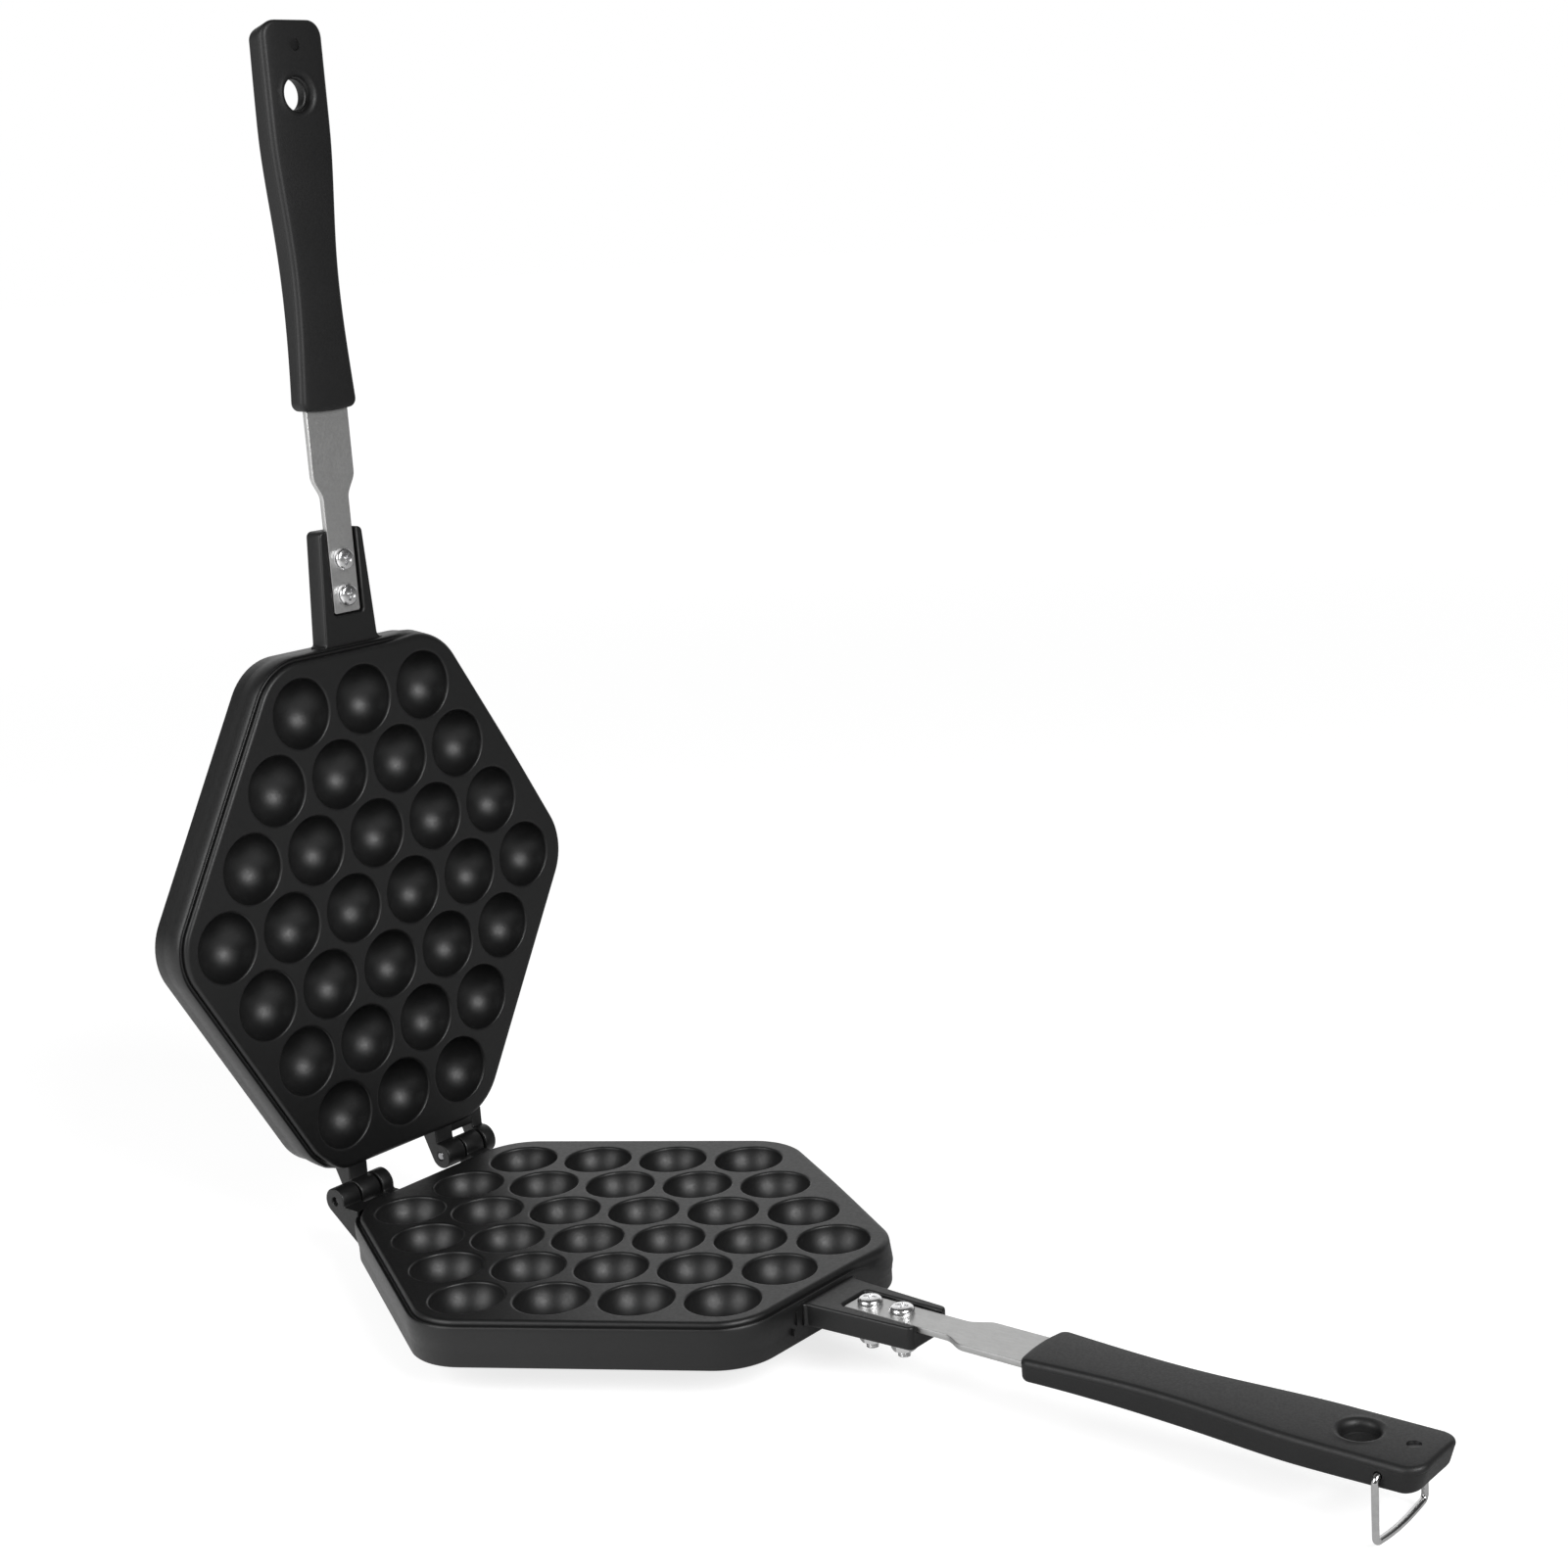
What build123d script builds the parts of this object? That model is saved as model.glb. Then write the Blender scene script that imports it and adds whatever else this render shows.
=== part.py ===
from build123d import *
import math
import os

# Egg waffle pan: two hinged cast plates with half-round cups, each on a screwed steel tang
# with a moulded grip, and a wire bail on the lower grip that holds the closed pan shut.
#
# Frame, in mm: origin at the centre of the lower plate's skirt, on the plane it stands on.
# +X from the hinge to the handles, +Z up. The upper half is drawn in its open rest place.
# Each half is first made in its own casting frame, with the cooking face at z = 0 and the
# back below it, and is then placed by lower_half() or upper_half().

# ---------------------------------------------------------------- driving dimensions
# cups
CUP_PITCH = 27.5
CUP_ROWS = (3, 4, 5, 6, 5, 4, 3)
CUP_RIM_RADIUS = 12.05
CUP_DEPTH = 10.8
CUP_EDGE_ROUND = 0.5
CUP_WALL = 2.4

# plate casting: widths are measured outward from the lines through the outermost cups
EDGE_MARGIN = 19.75
CORNER_RADIUS = 22.0
SKIRT_DEPTH = 15.2
SKIRT_WALL = 3.8
PLATE_THICKNESS = 4.0
RIM_WIDTH = 1.15
RIM_DROP = 1.25
RIM_ROUND = 0.45
GROOVE_WIDTH = 1.1
GROOVE_DEPTH = 1.7
FACE_EDGE_ROUND = 1.2
WALL_DRAFT = 1.05
DRAFT_DEPTH = 10.0
BAND_OVERHANG = 0.9
BAND_WIDEST_DEPTH = 8.0
BAND_DEPTH = 10.6
BAND_STEP = 1.3
BAND_TOP_ROUND = 1.7
RIM_END_Y = 37.0
CLOSED_GAP = 0.3

# plate hinge
HINGE_REACH = 9.4
KNUCKLE_RADIUS = 4.15
HINGE_START_NEAR = -36.4
HINGE_START_FAR = 13.8
WIDE_EAR = 8.2
TONGUE = 8.5
NARROW_EAR = 5.0
HINGE_SIDE_CLEARANCE = 0.65
LUG_ROOT_DEPTH = 10.7
OUTER_LUG_ROOT_DEPTH = 14.6
LUG_EMBED = 2.2
PIN_RADIUS = 1.5
PIN_RUNNING_CLEARANCE = 0.06
PIN_RECESS = 1.0
OPEN_ANGLE = 90.0

# handle bracket, a channel cast on the plate
BRACKET_LENGTH = 39.1
BRACKET_ROOT_HALF = 11.6
BRACKET_END_HALF = 9.4
BRACKET_TOP_DROP = 2.8
BRACKET_BOTTOM_DROP = 10.4
BRACKET_CORNER = 2.0
BRACKET_FLARE = 2.2
BRACKET_BOTTOM_ROUND = 1.0
BRACKET_TOP_ROUND = 0.35
CHANNEL_SIDE_CLEARANCE = 0.9
CHANNEL_END_CLEARANCE = 0.6
CHANNEL_CORNER = 1.4
CHANNEL_SETBACK = 9.8

# tang, a steel strip from the bracket into the grip
TANG_THICKNESS = 2.0
TANG_TOP_BELOW_RAIL = 0.75
TANG_HALF = 5.65
TANG_WIDE_HALF = 9.05
TANG_NECK_PAST_BRACKET = 10.2
TANG_SHOULDER_LENGTH = 8.5
TANG_END_ROUND = 0.5
TANG_CORE_HALF = 6.0
TANG_CORE_INSET = 3.0
TANG_EYE_WALL = 2.6

# screws, washers and nuts (M4)
SCREW_RADIUS = 2.0
SCREW_LENGTH = 14.0
SCREW_HEAD_RADIUS = 4.0
SCREW_HEAD_HEIGHT = 2.6
SCREW_HEAD_ROUND = 1.7
RECESS_SPAN = 4.4
RECESS_WIDTH = 0.95
RECESS_DEPTH = 1.5
SCREW_HOLE_CLEARANCE = 0.2
THREAD_CLEARANCE = 0.03
FIRST_SCREW_INSET = 6.1
SCREW_SPACING = 12.3
WASHER_RADIUS = 4.5
WASHER_THICKNESS = 0.8
SPRING_WASHER_RADIUS = 3.7
SPRING_WASHER_THICKNESS = 1.0
SPRING_WASHER_SPLIT = 0.6
SPRING_WASHER_SPLIT_ANGLE = 25.0
NUT_ACROSS_FLATS = 7.0
NUT_HEIGHT = 3.2

# grip, moulded round the tang
GRIP_PAST_BRACKET = 40.0
GRIP_LENGTH = 127.5
GRIP_ROOT_HALF = 12.2
GRIP_WAIST_HALF = 9.9
GRIP_TIP_HALF = 12.8
GRIP_WAIST_AT = 50.0
GRIP_TIP_AT = 94.0
GRIP_ROOT_BULGE = 0.9
GRIP_ROOT_TAPER = 0.08
GRIP_ROOT_CORNER = 3.0
GRIP_END_CORNER = 6.0
GRIP_TOP_DROP = 0.8
GRIP_ROOT_THICKNESS = 8.8
GRIP_THICKNESS = 10.2
GRIP_BACK_SWELL = 45.0
GRIP_END_SLOPE_RUN = 9.0
GRIP_END_SLOPE_RISE = 4.0
GRIP_EDGE_ROUND = 2.4
HANG_HOLE_RADIUS = 4.9
HANG_HOLE_MOUTH = 1.5
HANG_HOLE_FROM_END = 24.0
DIMPLE_RADIUS = 1.8
DIMPLE_DEPTH = 0.5
DIMPLE_FROM_END = 8.3

# wire bail on the lower grip
BAIL_WIRE_RADIUS = 1.0
BAIL_FROM_END = 12.5
BAIL_PIVOT_DROP = 5.5
BAIL_DROP = 18.6
BAIL_BOW = 1.6
BAIL_BOW_RADIUS = 55.0
BAIL_BEND_RADIUS = 1.9
BAIL_STUB = 3.2
BAIL_SIDE_CLEARANCE = 0.5
BAIL_BORE_CLEARANCE = 0.08
BAIL_BORE_END_CLEARANCE = 0.3

# how far a cutting solid runs past what it cuts, how far joined solids run into each other,
# and how closely a radius is matched when edges are picked by it
CUT = 1.0
JOIN = 0.5
MATCH = 0.01

# ---------------------------------------------------------------- places worked out from them
SIN60 = math.sin(math.radians(60))
ROW_PITCH = CUP_PITCH * SIN60
END_ROWS_X = ROW_PITCH * (len(CUP_ROWS) - 1) / 2
SLANT_LINE = END_ROWS_X / 2 + SIN60 * CUP_PITCH * (CUP_ROWS[0] - 1) / 2

SKIRT_MARGIN = EDGE_MARGIN - WALL_DRAFT
FACE_MARGIN = EDGE_MARGIN - RIM_WIDTH - GROOVE_WIDTH
EDGE_X = END_ROWS_X + EDGE_MARGIN

HINGE_X = -EDGE_X - HINGE_REACH
HINGE_Z = CLOSED_GAP / 2
HINGE_WIDTH = WIDE_EAR + TONGUE + NARROW_EAR + 2 * HINGE_SIDE_CLEARANCE
TONGUE_START = WIDE_EAR + HINGE_SIDE_CLEARANCE
NARROW_EAR_START = TONGUE_START + TONGUE + HINGE_SIDE_CLEARANCE

BRACKET_END_X = EDGE_X + BRACKET_LENGTH
CHANNEL_X = EDGE_X + CHANNEL_SETBACK
CHANNEL_HALF = TANG_HALF + CHANNEL_SIDE_CLEARANCE
TANG_TOP_Z = -BRACKET_TOP_DROP - TANG_TOP_BELOW_RAIL
TANG_BOTTOM_Z = TANG_TOP_Z - TANG_THICKNESS
TANG_X = CHANNEL_X + CHANNEL_END_CLEARANCE
SCREW_XS = (TANG_X + FIRST_SCREW_INSET, TANG_X + FIRST_SCREW_INSET + SCREW_SPACING)
SCREW_HOLE_RADIUS = SCREW_RADIUS + SCREW_HOLE_CLEARANCE
WASHER_TOP_Z = -BRACKET_BOTTOM_DROP
SPRING_WASHER_TOP_Z = WASHER_TOP_Z - WASHER_THICKNESS
NUT_TOP_Z = SPRING_WASHER_TOP_Z - SPRING_WASHER_THICKNESS

GRIP_X = BRACKET_END_X + GRIP_PAST_BRACKET
GRIP_END_X = GRIP_X + GRIP_LENGTH
GRIP_TOP_Z = -GRIP_TOP_DROP
GRIP_SWELL_X = GRIP_X + GRIP_BACK_SWELL
HANG_HOLE_X = GRIP_END_X - HANG_HOLE_FROM_END
HANG_HOLE_WALL_RADIUS = HANG_HOLE_RADIUS + HANG_HOLE_MOUTH
TANG_EYE_RADIUS = HANG_HOLE_WALL_RADIUS + TANG_EYE_WALL
BAIL_X = GRIP_END_X - BAIL_FROM_END
BAIL_Z = -BAIL_PIVOT_DROP
BAIL_LEG_Y = GRIP_TIP_HALF + BAIL_SIDE_CLEARANCE + BAIL_WIRE_RADIUS
BAIL_STUB_Y = GRIP_TIP_HALF - BAIL_STUB


# ---------------------------------------------------------------- plate castings
def cup_centres():
    """Centres of the cups: rows across the plate, each shifted half a pitch from the next."""
    centres = []
    for row, count in enumerate(CUP_ROWS):
        x = row * ROW_PITCH - END_ROWS_X
        for place in range(count):
            centres.append((x, (place - (count - 1) / 2) * CUP_PITCH))
    return centres


def outline(margin, z=0.0):
    """Rounded hexagon, margin outside the lines through the outermost cups, at height z."""
    x = END_ROWS_X + margin
    y_side = (SLANT_LINE + margin - x / 2) / SIN60
    y_tip = (SLANT_LINE + margin) / SIN60
    corners = [(x, -y_side), (x, y_side), (0, y_tip), (-x, y_side), (-x, -y_side), (0, -y_tip)]
    sharp = Polygon(*corners, align=None)
    rounded = fillet(sharp.vertices(), CORNER_RADIUS - EDGE_MARGIN + margin)
    return Pos(0, 0, z) * rounded


def wall(z_low, margin_low, z_high, margin_high):
    """Solid between two heights, with the plate's outline growing from one margin to the other."""
    low = outline(margin_low, z_low)
    high = outline(margin_high, z_high)
    return loft([low, high], ruled=True)


def slab(margin, z_low, z_high):
    """Straight-sided solid of the plate's outline."""
    return extrude(outline(margin, z_low), z_high - z_low)


def top_edges(shape):
    """Edges that bound the highest face."""
    return shape.faces().sort_by(Axis.Z)[-1].edges()


def rimmed_body():
    """Casting body with a raised cooking face, a groove round it and a lower rim."""
    skirt = slab(SKIRT_MARGIN, -SKIRT_DEPTH, -DRAFT_DEPTH)
    sides = wall(-DRAFT_DEPTH, SKIRT_MARGIN, -RIM_DROP, EDGE_MARGIN)
    sides = fillet(top_edges(sides), RIM_ROUND)
    groove = slab(FACE_MARGIN + GROOVE_WIDTH, -GROOVE_DEPTH, CUT)
    face = slab(FACE_MARGIN, -GROOVE_DEPTH - JOIN, 0)
    face = fillet(top_edges(face), FACE_EDGE_ROUND)
    return skirt + sides - groove + face


def banded_body():
    """Casting body whose face runs flat to a thick rounded band that overhangs the skirt."""
    skirt = slab(SKIRT_MARGIN, -SKIRT_DEPTH, -BAND_DEPTH)
    step = wall(-BAND_DEPTH, SKIRT_MARGIN, -BAND_DEPTH + BAND_STEP, EDGE_MARGIN + BAND_OVERHANG / 2)
    swell = wall(
        -BAND_DEPTH + BAND_STEP,
        EDGE_MARGIN + BAND_OVERHANG / 2,
        -BAND_WIDEST_DEPTH,
        EDGE_MARGIN + BAND_OVERHANG,
    )
    band = wall(-BAND_WIDEST_DEPTH, EDGE_MARGIN + BAND_OVERHANG, 0, EDGE_MARGIN)
    band = fillet(top_edges(band), BAND_TOP_ROUND)
    return skirt + step + swell + band


def side_block(y_from, y_to):
    """Block that keeps one side of the plate."""
    reach = 2 * (EDGE_X + BAND_OVERHANG)
    centre_y = (y_from + y_to) / 2
    return Pos(0, centre_y, 0) * Box(reach, y_to - y_from, 2 * SKIRT_DEPTH + 2 * CUT)


def cup_solids():
    """The cup's cutter, with a rounded mouth, and the dome behind it, about the z axis."""
    ball = (CUP_RIM_RADIUS**2 + CUP_DEPTH**2) / (2 * CUP_DEPTH)
    ball_z = ball - CUP_DEPTH
    cutter = Pos(0, 0, ball_z) * Sphere(ball) & Pos(0, 0, -CUP_DEPTH / 2) * Cylinder(
        ball + CUT, CUP_DEPTH + 2 * CUT
    )
    mouth = Pos(0, 0, -CUP_EDGE_ROUND / 2) * Cone(
        CUP_RIM_RADIUS, CUP_RIM_RADIUS + CUP_EDGE_ROUND, CUP_EDGE_ROUND
    )
    dome = Pos(0, 0, ball_z) * Sphere(ball + CUP_WALL)
    keep = Pos(0, 0, -PLATE_THICKNESS + JOIN - SKIRT_DEPTH / 2) * Cylinder(
        ball + CUP_WALL + CUT, SKIRT_DEPTH
    )
    return cutter + mouth, dome & keep


def plate_blank():
    """Casting with its skirt hollow, domes and cups, before lugs and bracket are added."""
    far = EDGE_X + SLANT_LINE + EDGE_MARGIN
    rimmed = rimmed_body() & side_block(-far, RIM_END_Y)
    banded = banded_body() & side_block(RIM_END_Y, far)
    blank = rimmed + banded
    blank -= slab(SKIRT_MARGIN - SKIRT_WALL, -SKIRT_DEPTH - CUT, -PLATE_THICKNESS)
    cutter, dome = cup_solids()
    places = [Pos(x, y, 0) for x, y in cup_centres()]
    blank += [place * dome for place in places]
    return blank - [place * cutter for place in places]


def lug(y_start, width, root_depth, bore_radius):
    """Hinge lug: a bored knuckle with a web that runs into the plate's wall."""
    wall_x = -EDGE_X + LUG_EMBED
    run = wall_x - HINGE_X
    drop = HINGE_Z + root_depth
    reach = math.hypot(run, drop)
    # the web's lower edge is tangent to the knuckle
    turn = math.atan2(-drop, run) - math.acos(KNUCKLE_RADIUS / reach)
    touch = (
        HINGE_X + KNUCKLE_RADIUS * math.cos(turn),
        HINGE_Z + KNUCKLE_RADIUS * math.sin(turn),
    )
    web = Polygon(
        (HINGE_X, HINGE_Z - KNUCKLE_RADIUS / 2),
        touch,
        (wall_x, -root_depth),
        (wall_x, -RIM_DROP),
        (HINGE_X, -RIM_DROP),
        align=None,
    )
    knuckle = Pos(HINGE_X, HINGE_Z) * Circle(KNUCKLE_RADIUS)
    bore = Pos(HINGE_X, HINGE_Z) * Circle(bore_radius)
    # Plane.XZ looks along -Y, so the profile is extruded backwards to run towards +Y
    profile = Plane.XZ * (web + knuckle - bore)
    return Pos(0, y_start, 0) * extrude(profile, -width)


def clevis(y_start, outer_root_depth):
    """Two ears that hold the hinge pin."""
    wide = lug(y_start, WIDE_EAR, outer_root_depth, PIN_RADIUS)
    narrow = lug(y_start + NARROW_EAR_START, NARROW_EAR, LUG_ROOT_DEPTH, PIN_RADIUS)
    return [wide, narrow]


def tongue(y_start):
    """The single lug that turns on the hinge pin, between a clevis's ears."""
    return lug(y_start + TONGUE_START, TONGUE, LUG_ROOT_DEPTH, PIN_RADIUS + PIN_RUNNING_CLEARANCE)


def bracket():
    """Channel-shaped handle bracket, with its screw holes."""
    root_x = EDGE_X - LUG_EMBED
    taper = Polygon(
        (root_x, -BRACKET_ROOT_HALF),
        (EDGE_X, -BRACKET_ROOT_HALF),
        (BRACKET_END_X, -BRACKET_END_HALF),
        (BRACKET_END_X, BRACKET_END_HALF),
        (EDGE_X, BRACKET_ROOT_HALF),
        (root_x, BRACKET_ROOT_HALF),
        align=None,
    )
    ends = taper.vertices().filter_by_position(Axis.X, BRACKET_END_X - CUT, BRACKET_END_X + CUT)
    plan = fillet(ends, BRACKET_CORNER)
    flare_half = BRACKET_ROOT_HALF + BRACKET_FLARE
    flare_length = LUG_EMBED + BRACKET_FLARE
    plan += Pos(root_x + flare_length / 2, 0) * Rectangle(flare_length, 2 * flare_half)
    for side in (-1, 1):
        plan -= Pos(EDGE_X + BRACKET_FLARE, side * flare_half) * Circle(BRACKET_FLARE)
    height = BRACKET_BOTTOM_DROP - BRACKET_TOP_DROP
    body = extrude(Pos(0, 0, -BRACKET_BOTTOM_DROP) * plan, height)
    body = fillet(body.faces().sort_by(Axis.Z)[0].edges(), BRACKET_BOTTOM_ROUND)

    channel_length = BRACKET_END_X - CHANNEL_X + 2 * CUT
    channel_plan = Pos(CHANNEL_X + channel_length / 2, 0) * Rectangle(channel_length, 2 * CHANNEL_HALF)
    inner = channel_plan.vertices().filter_by_position(Axis.X, CHANNEL_X - CUT, CHANNEL_X + CUT)
    channel_plan = fillet(inner, CHANNEL_CORNER)
    body -= extrude(Pos(0, 0, TANG_BOTTOM_Z) * channel_plan, -TANG_BOTTOM_Z)
    body = fillet(top_edges(body), BRACKET_TOP_ROUND)
    return body - screw_holes()


def screw_holes():
    """Clearance holes for the two handle screws."""
    depth = BRACKET_BOTTOM_DROP + 2 * CUT
    hole = Pos(0, 0, -BRACKET_BOTTOM_DROP / 2) * Cylinder(SCREW_HOLE_RADIUS, depth)
    return [Pos(x, 0, 0) * hole for x in SCREW_XS]


# ---------------------------------------------------------------- handle
def tang():
    """Steel strip: a narrow end in the bracket, wide shoulders, a core in the grip and an eye."""
    neck_x = BRACKET_END_X + TANG_NECK_PAST_BRACKET
    wide_x = neck_x + TANG_SHOULDER_LENGTH
    core_x = GRIP_X + TANG_CORE_INSET

    def half_width_edges(side):
        shoulder = Spline(
            (neck_x, side * TANG_HALF),
            (wide_x, side * TANG_WIDE_HALF),
            tangents=[(1, 0), (1, 0)],
        )
        return [
            Line((TANG_X, side * TANG_HALF), (neck_x, side * TANG_HALF)),
            shoulder,
            Line((wide_x, side * TANG_WIDE_HALF), (core_x, side * TANG_WIDE_HALF)),
            Line((core_x, side * TANG_WIDE_HALF), (core_x, side * TANG_CORE_HALF)),
            Line((core_x, side * TANG_CORE_HALF), (HANG_HOLE_X, side * TANG_CORE_HALF)),
        ]

    edges = half_width_edges(1) + half_width_edges(-1)
    edges.append(Line((TANG_X, -TANG_HALF), (TANG_X, TANG_HALF)))
    edges.append(Line((HANG_HOLE_X, -TANG_CORE_HALF), (HANG_HOLE_X, TANG_CORE_HALF)))
    plan = make_face(edges)
    corners = plan.vertices().filter_by_position(Axis.X, TANG_X - CUT, TANG_X + CUT)
    plan = fillet(corners, TANG_END_ROUND)
    plan += Pos(HANG_HOLE_X, 0) * Circle(TANG_EYE_RADIUS)
    plan -= Pos(HANG_HOLE_X, 0) * Circle(HANG_HOLE_WALL_RADIUS)
    strip = extrude(Pos(0, 0, TANG_BOTTOM_Z) * plan, TANG_THICKNESS)
    return strip - screw_holes()


def grip_plan():
    """Outline of the grip seen from above: convex root, waist, rounded end."""
    waist_x = GRIP_X + GRIP_WAIST_AT
    tip_x = GRIP_X + GRIP_TIP_AT
    root_x = GRIP_X + GRIP_ROOT_BULGE

    def side_edges(side):
        flank = Spline(
            (root_x, side * GRIP_ROOT_HALF),
            (waist_x, side * GRIP_WAIST_HALF),
            (tip_x, side * GRIP_TIP_HALF),
            tangents=[(1, -side * GRIP_ROOT_TAPER), (1, 0)],
        )
        return [flank, Line((tip_x, side * GRIP_TIP_HALF), (GRIP_END_X, side * GRIP_TIP_HALF))]

    edges = side_edges(1) + side_edges(-1)
    edges.append(ThreePointArc((root_x, -GRIP_ROOT_HALF), (GRIP_X, 0), (root_x, GRIP_ROOT_HALF)))
    edges.append(Line((GRIP_END_X, -GRIP_TIP_HALF), (GRIP_END_X, GRIP_TIP_HALF)))
    plan = make_face(edges)
    root_corners = plan.vertices().filter_by_position(Axis.X, root_x - CUT, root_x + CUT)
    plan = fillet(root_corners, GRIP_ROOT_CORNER)
    end_corners = plan.vertices().filter_by_position(Axis.X, GRIP_END_X - CUT, GRIP_END_X + CUT)
    return fillet(end_corners, GRIP_END_CORNER)


def grip_side():
    """Side view of the grip: thin root, thicker middle, back sloped up at the end."""
    root_z = GRIP_TOP_Z - GRIP_ROOT_THICKNESS
    back_z = GRIP_TOP_Z - GRIP_THICKNESS
    slope_x = GRIP_END_X - GRIP_END_SLOPE_RUN
    past_end = (GRIP_END_X + GRIP_END_SLOPE_RUN, back_z + 2 * GRIP_END_SLOPE_RISE)
    edges = [
        Line((GRIP_X - CUT, GRIP_TOP_Z), (past_end[0], GRIP_TOP_Z)),
        Line((GRIP_X - CUT, GRIP_TOP_Z), (GRIP_X - CUT, root_z)),
        Spline((GRIP_X - CUT, root_z), (GRIP_SWELL_X, back_z), tangents=[(1, 0), (1, 0)]),
        Line((GRIP_SWELL_X, back_z), (slope_x, back_z)),
        Line((slope_x, back_z), past_end),
        Line(past_end, (past_end[0], GRIP_TOP_Z)),
    ]
    return make_face(edges)


def grip(tang_solid, bail_bores):
    """Moulded grip round the tang, with the hanging hole, a dimple and the bail's bores."""
    height = GRIP_THICKNESS + 2 * CUT
    body = extrude(Pos(0, 0, -height) * grip_plan(), height + CUT)
    side_width = 2 * (GRIP_TIP_HALF + CUT)
    body = body & Pos(0, side_width / 2, 0) * extrude(Plane.XZ * grip_side(), side_width)
    # the back's smooth seam across the grip needs no rounding
    seam = body.edges().filter_by(Axis.Y)
    seam = seam.filter_by_position(Axis.X, GRIP_SWELL_X - CUT, GRIP_SWELL_X + CUT)
    sharp = [edge for edge in body.edges().filter_by(Axis.Z, reverse=True) if edge not in seam]
    body = fillet(sharp, GRIP_EDGE_ROUND)
    mid_z = GRIP_TOP_Z - GRIP_THICKNESS / 2
    place = Pos(HANG_HOLE_X, 0, mid_z)
    body -= place * Cylinder(HANG_HOLE_RADIUS, GRIP_THICKNESS + 2 * CUT)
    circles = body.edges().filter_by(GeomType.CIRCLE)
    rims = [edge for edge in circles if abs(edge.radius - HANG_HOLE_RADIUS) < MATCH]
    body = fillet(rims, HANG_HOLE_MOUTH)
    dimple_ball = (DIMPLE_RADIUS**2 + DIMPLE_DEPTH**2) / (2 * DIMPLE_DEPTH)
    dimple_z = GRIP_TOP_Z - DIMPLE_DEPTH + dimple_ball
    body -= Pos(GRIP_END_X - DIMPLE_FROM_END, 0, dimple_z) * Sphere(dimple_ball)
    body -= tang_solid
    if bail_bores:
        depth = BAIL_STUB + BAIL_BORE_END_CLEARANCE
        bore = Cylinder(BAIL_WIRE_RADIUS + BAIL_BORE_CLEARANCE, depth + CUT)
        for side_sign in (-1, 1):
            y = side_sign * (GRIP_TIP_HALF - (depth - CUT) / 2)
            body -= Pos(BAIL_X, y, BAIL_Z) * Rot(90, 0, 0) * bore
    return body


def bail():
    """Wire bail: two stubs in the grip's sides, two legs and a bowed bar, hanging down."""
    low_z = BAIL_Z - BAIL_DROP
    points = [
        (BAIL_X, -BAIL_STUB_Y, BAIL_Z),
        (BAIL_X, -BAIL_LEG_Y, BAIL_Z),
        (BAIL_X, -BAIL_LEG_Y, low_z),
        (BAIL_X, 0, low_z - BAIL_BOW),
        (BAIL_X, BAIL_LEG_Y, low_z),
        (BAIL_X, BAIL_LEG_Y, BAIL_Z),
        (BAIL_X, BAIL_STUB_Y, BAIL_Z),
    ]
    bends = [BAIL_BEND_RADIUS, BAIL_BEND_RADIUS, BAIL_BOW_RADIUS, BAIL_BEND_RADIUS, BAIL_BEND_RADIUS]
    path = FilletPolyline(*points, radius=bends)
    section = Plane(origin=path @ 0, z_dir=path % 0) * Circle(BAIL_WIRE_RADIUS)
    return sweep(section, path=path)


# ---------------------------------------------------------------- fasteners
def screw():
    """Pan-head screw with a cross recess, head on the z = 0 plane, shank below it."""
    head = Pos(0, 0, SCREW_HEAD_HEIGHT / 2) * Cylinder(SCREW_HEAD_RADIUS, SCREW_HEAD_HEIGHT)
    head = fillet(top_edges(head), SCREW_HEAD_ROUND)
    recess = Box(RECESS_SPAN, RECESS_WIDTH, 2 * RECESS_DEPTH)
    recess += Box(RECESS_WIDTH, RECESS_SPAN, 2 * RECESS_DEPTH)
    shank = Pos(0, 0, -SCREW_LENGTH / 2) * Cylinder(SCREW_RADIUS, SCREW_LENGTH)
    return head - Pos(0, 0, SCREW_HEAD_HEIGHT) * recess + shank


def ring(outer_radius, inner_radius, thickness):
    """Flat ring whose top is on the z = 0 plane."""
    plan = Circle(outer_radius) - Circle(inner_radius)
    return extrude(plan, -thickness)


def flat_washer():
    return ring(WASHER_RADIUS, SCREW_HOLE_RADIUS, WASHER_THICKNESS)


def spring_washer():
    """Split washer, flat as it lies when tightened."""
    washer = ring(SPRING_WASHER_RADIUS, SCREW_HOLE_RADIUS, SPRING_WASHER_THICKNESS)
    split = Box(SPRING_WASHER_SPLIT, SPRING_WASHER_RADIUS + CUT, 4 * SPRING_WASHER_THICKNESS)
    split = Rot(0, SPRING_WASHER_SPLIT_ANGLE, 0) * split
    return washer - Pos(0, (SPRING_WASHER_RADIUS + CUT) / 2, 0) * split


def nut():
    """Hexagon nut whose top is on the z = 0 plane."""
    plan = RegularPolygon(NUT_ACROSS_FLATS / 2, 6, major_radius=False)
    plan -= Circle(SCREW_RADIUS + THREAD_CLEARANCE)
    body = extrude(plan, -NUT_HEIGHT)
    corner_radius = NUT_ACROSS_FLATS / 2 / SIN60
    barrel = Pos(0, 0, -NUT_HEIGHT / 2) * Cylinder(corner_radius, NUT_HEIGHT)
    rim = corner_radius - NUT_ACROSS_FLATS / 2
    return body & chamfer(barrel.edges().filter_by(GeomType.CIRCLE), rim / 2, rim)


def hinge_pin(y_start):
    """Hinge pin along Y from y_start."""
    length = HINGE_WIDTH - PIN_RECESS
    pin = Cylinder(PIN_RADIUS, length)
    return Pos(HINGE_X, y_start + length / 2, HINGE_Z) * Rot(90, 0, 0) * pin


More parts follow.
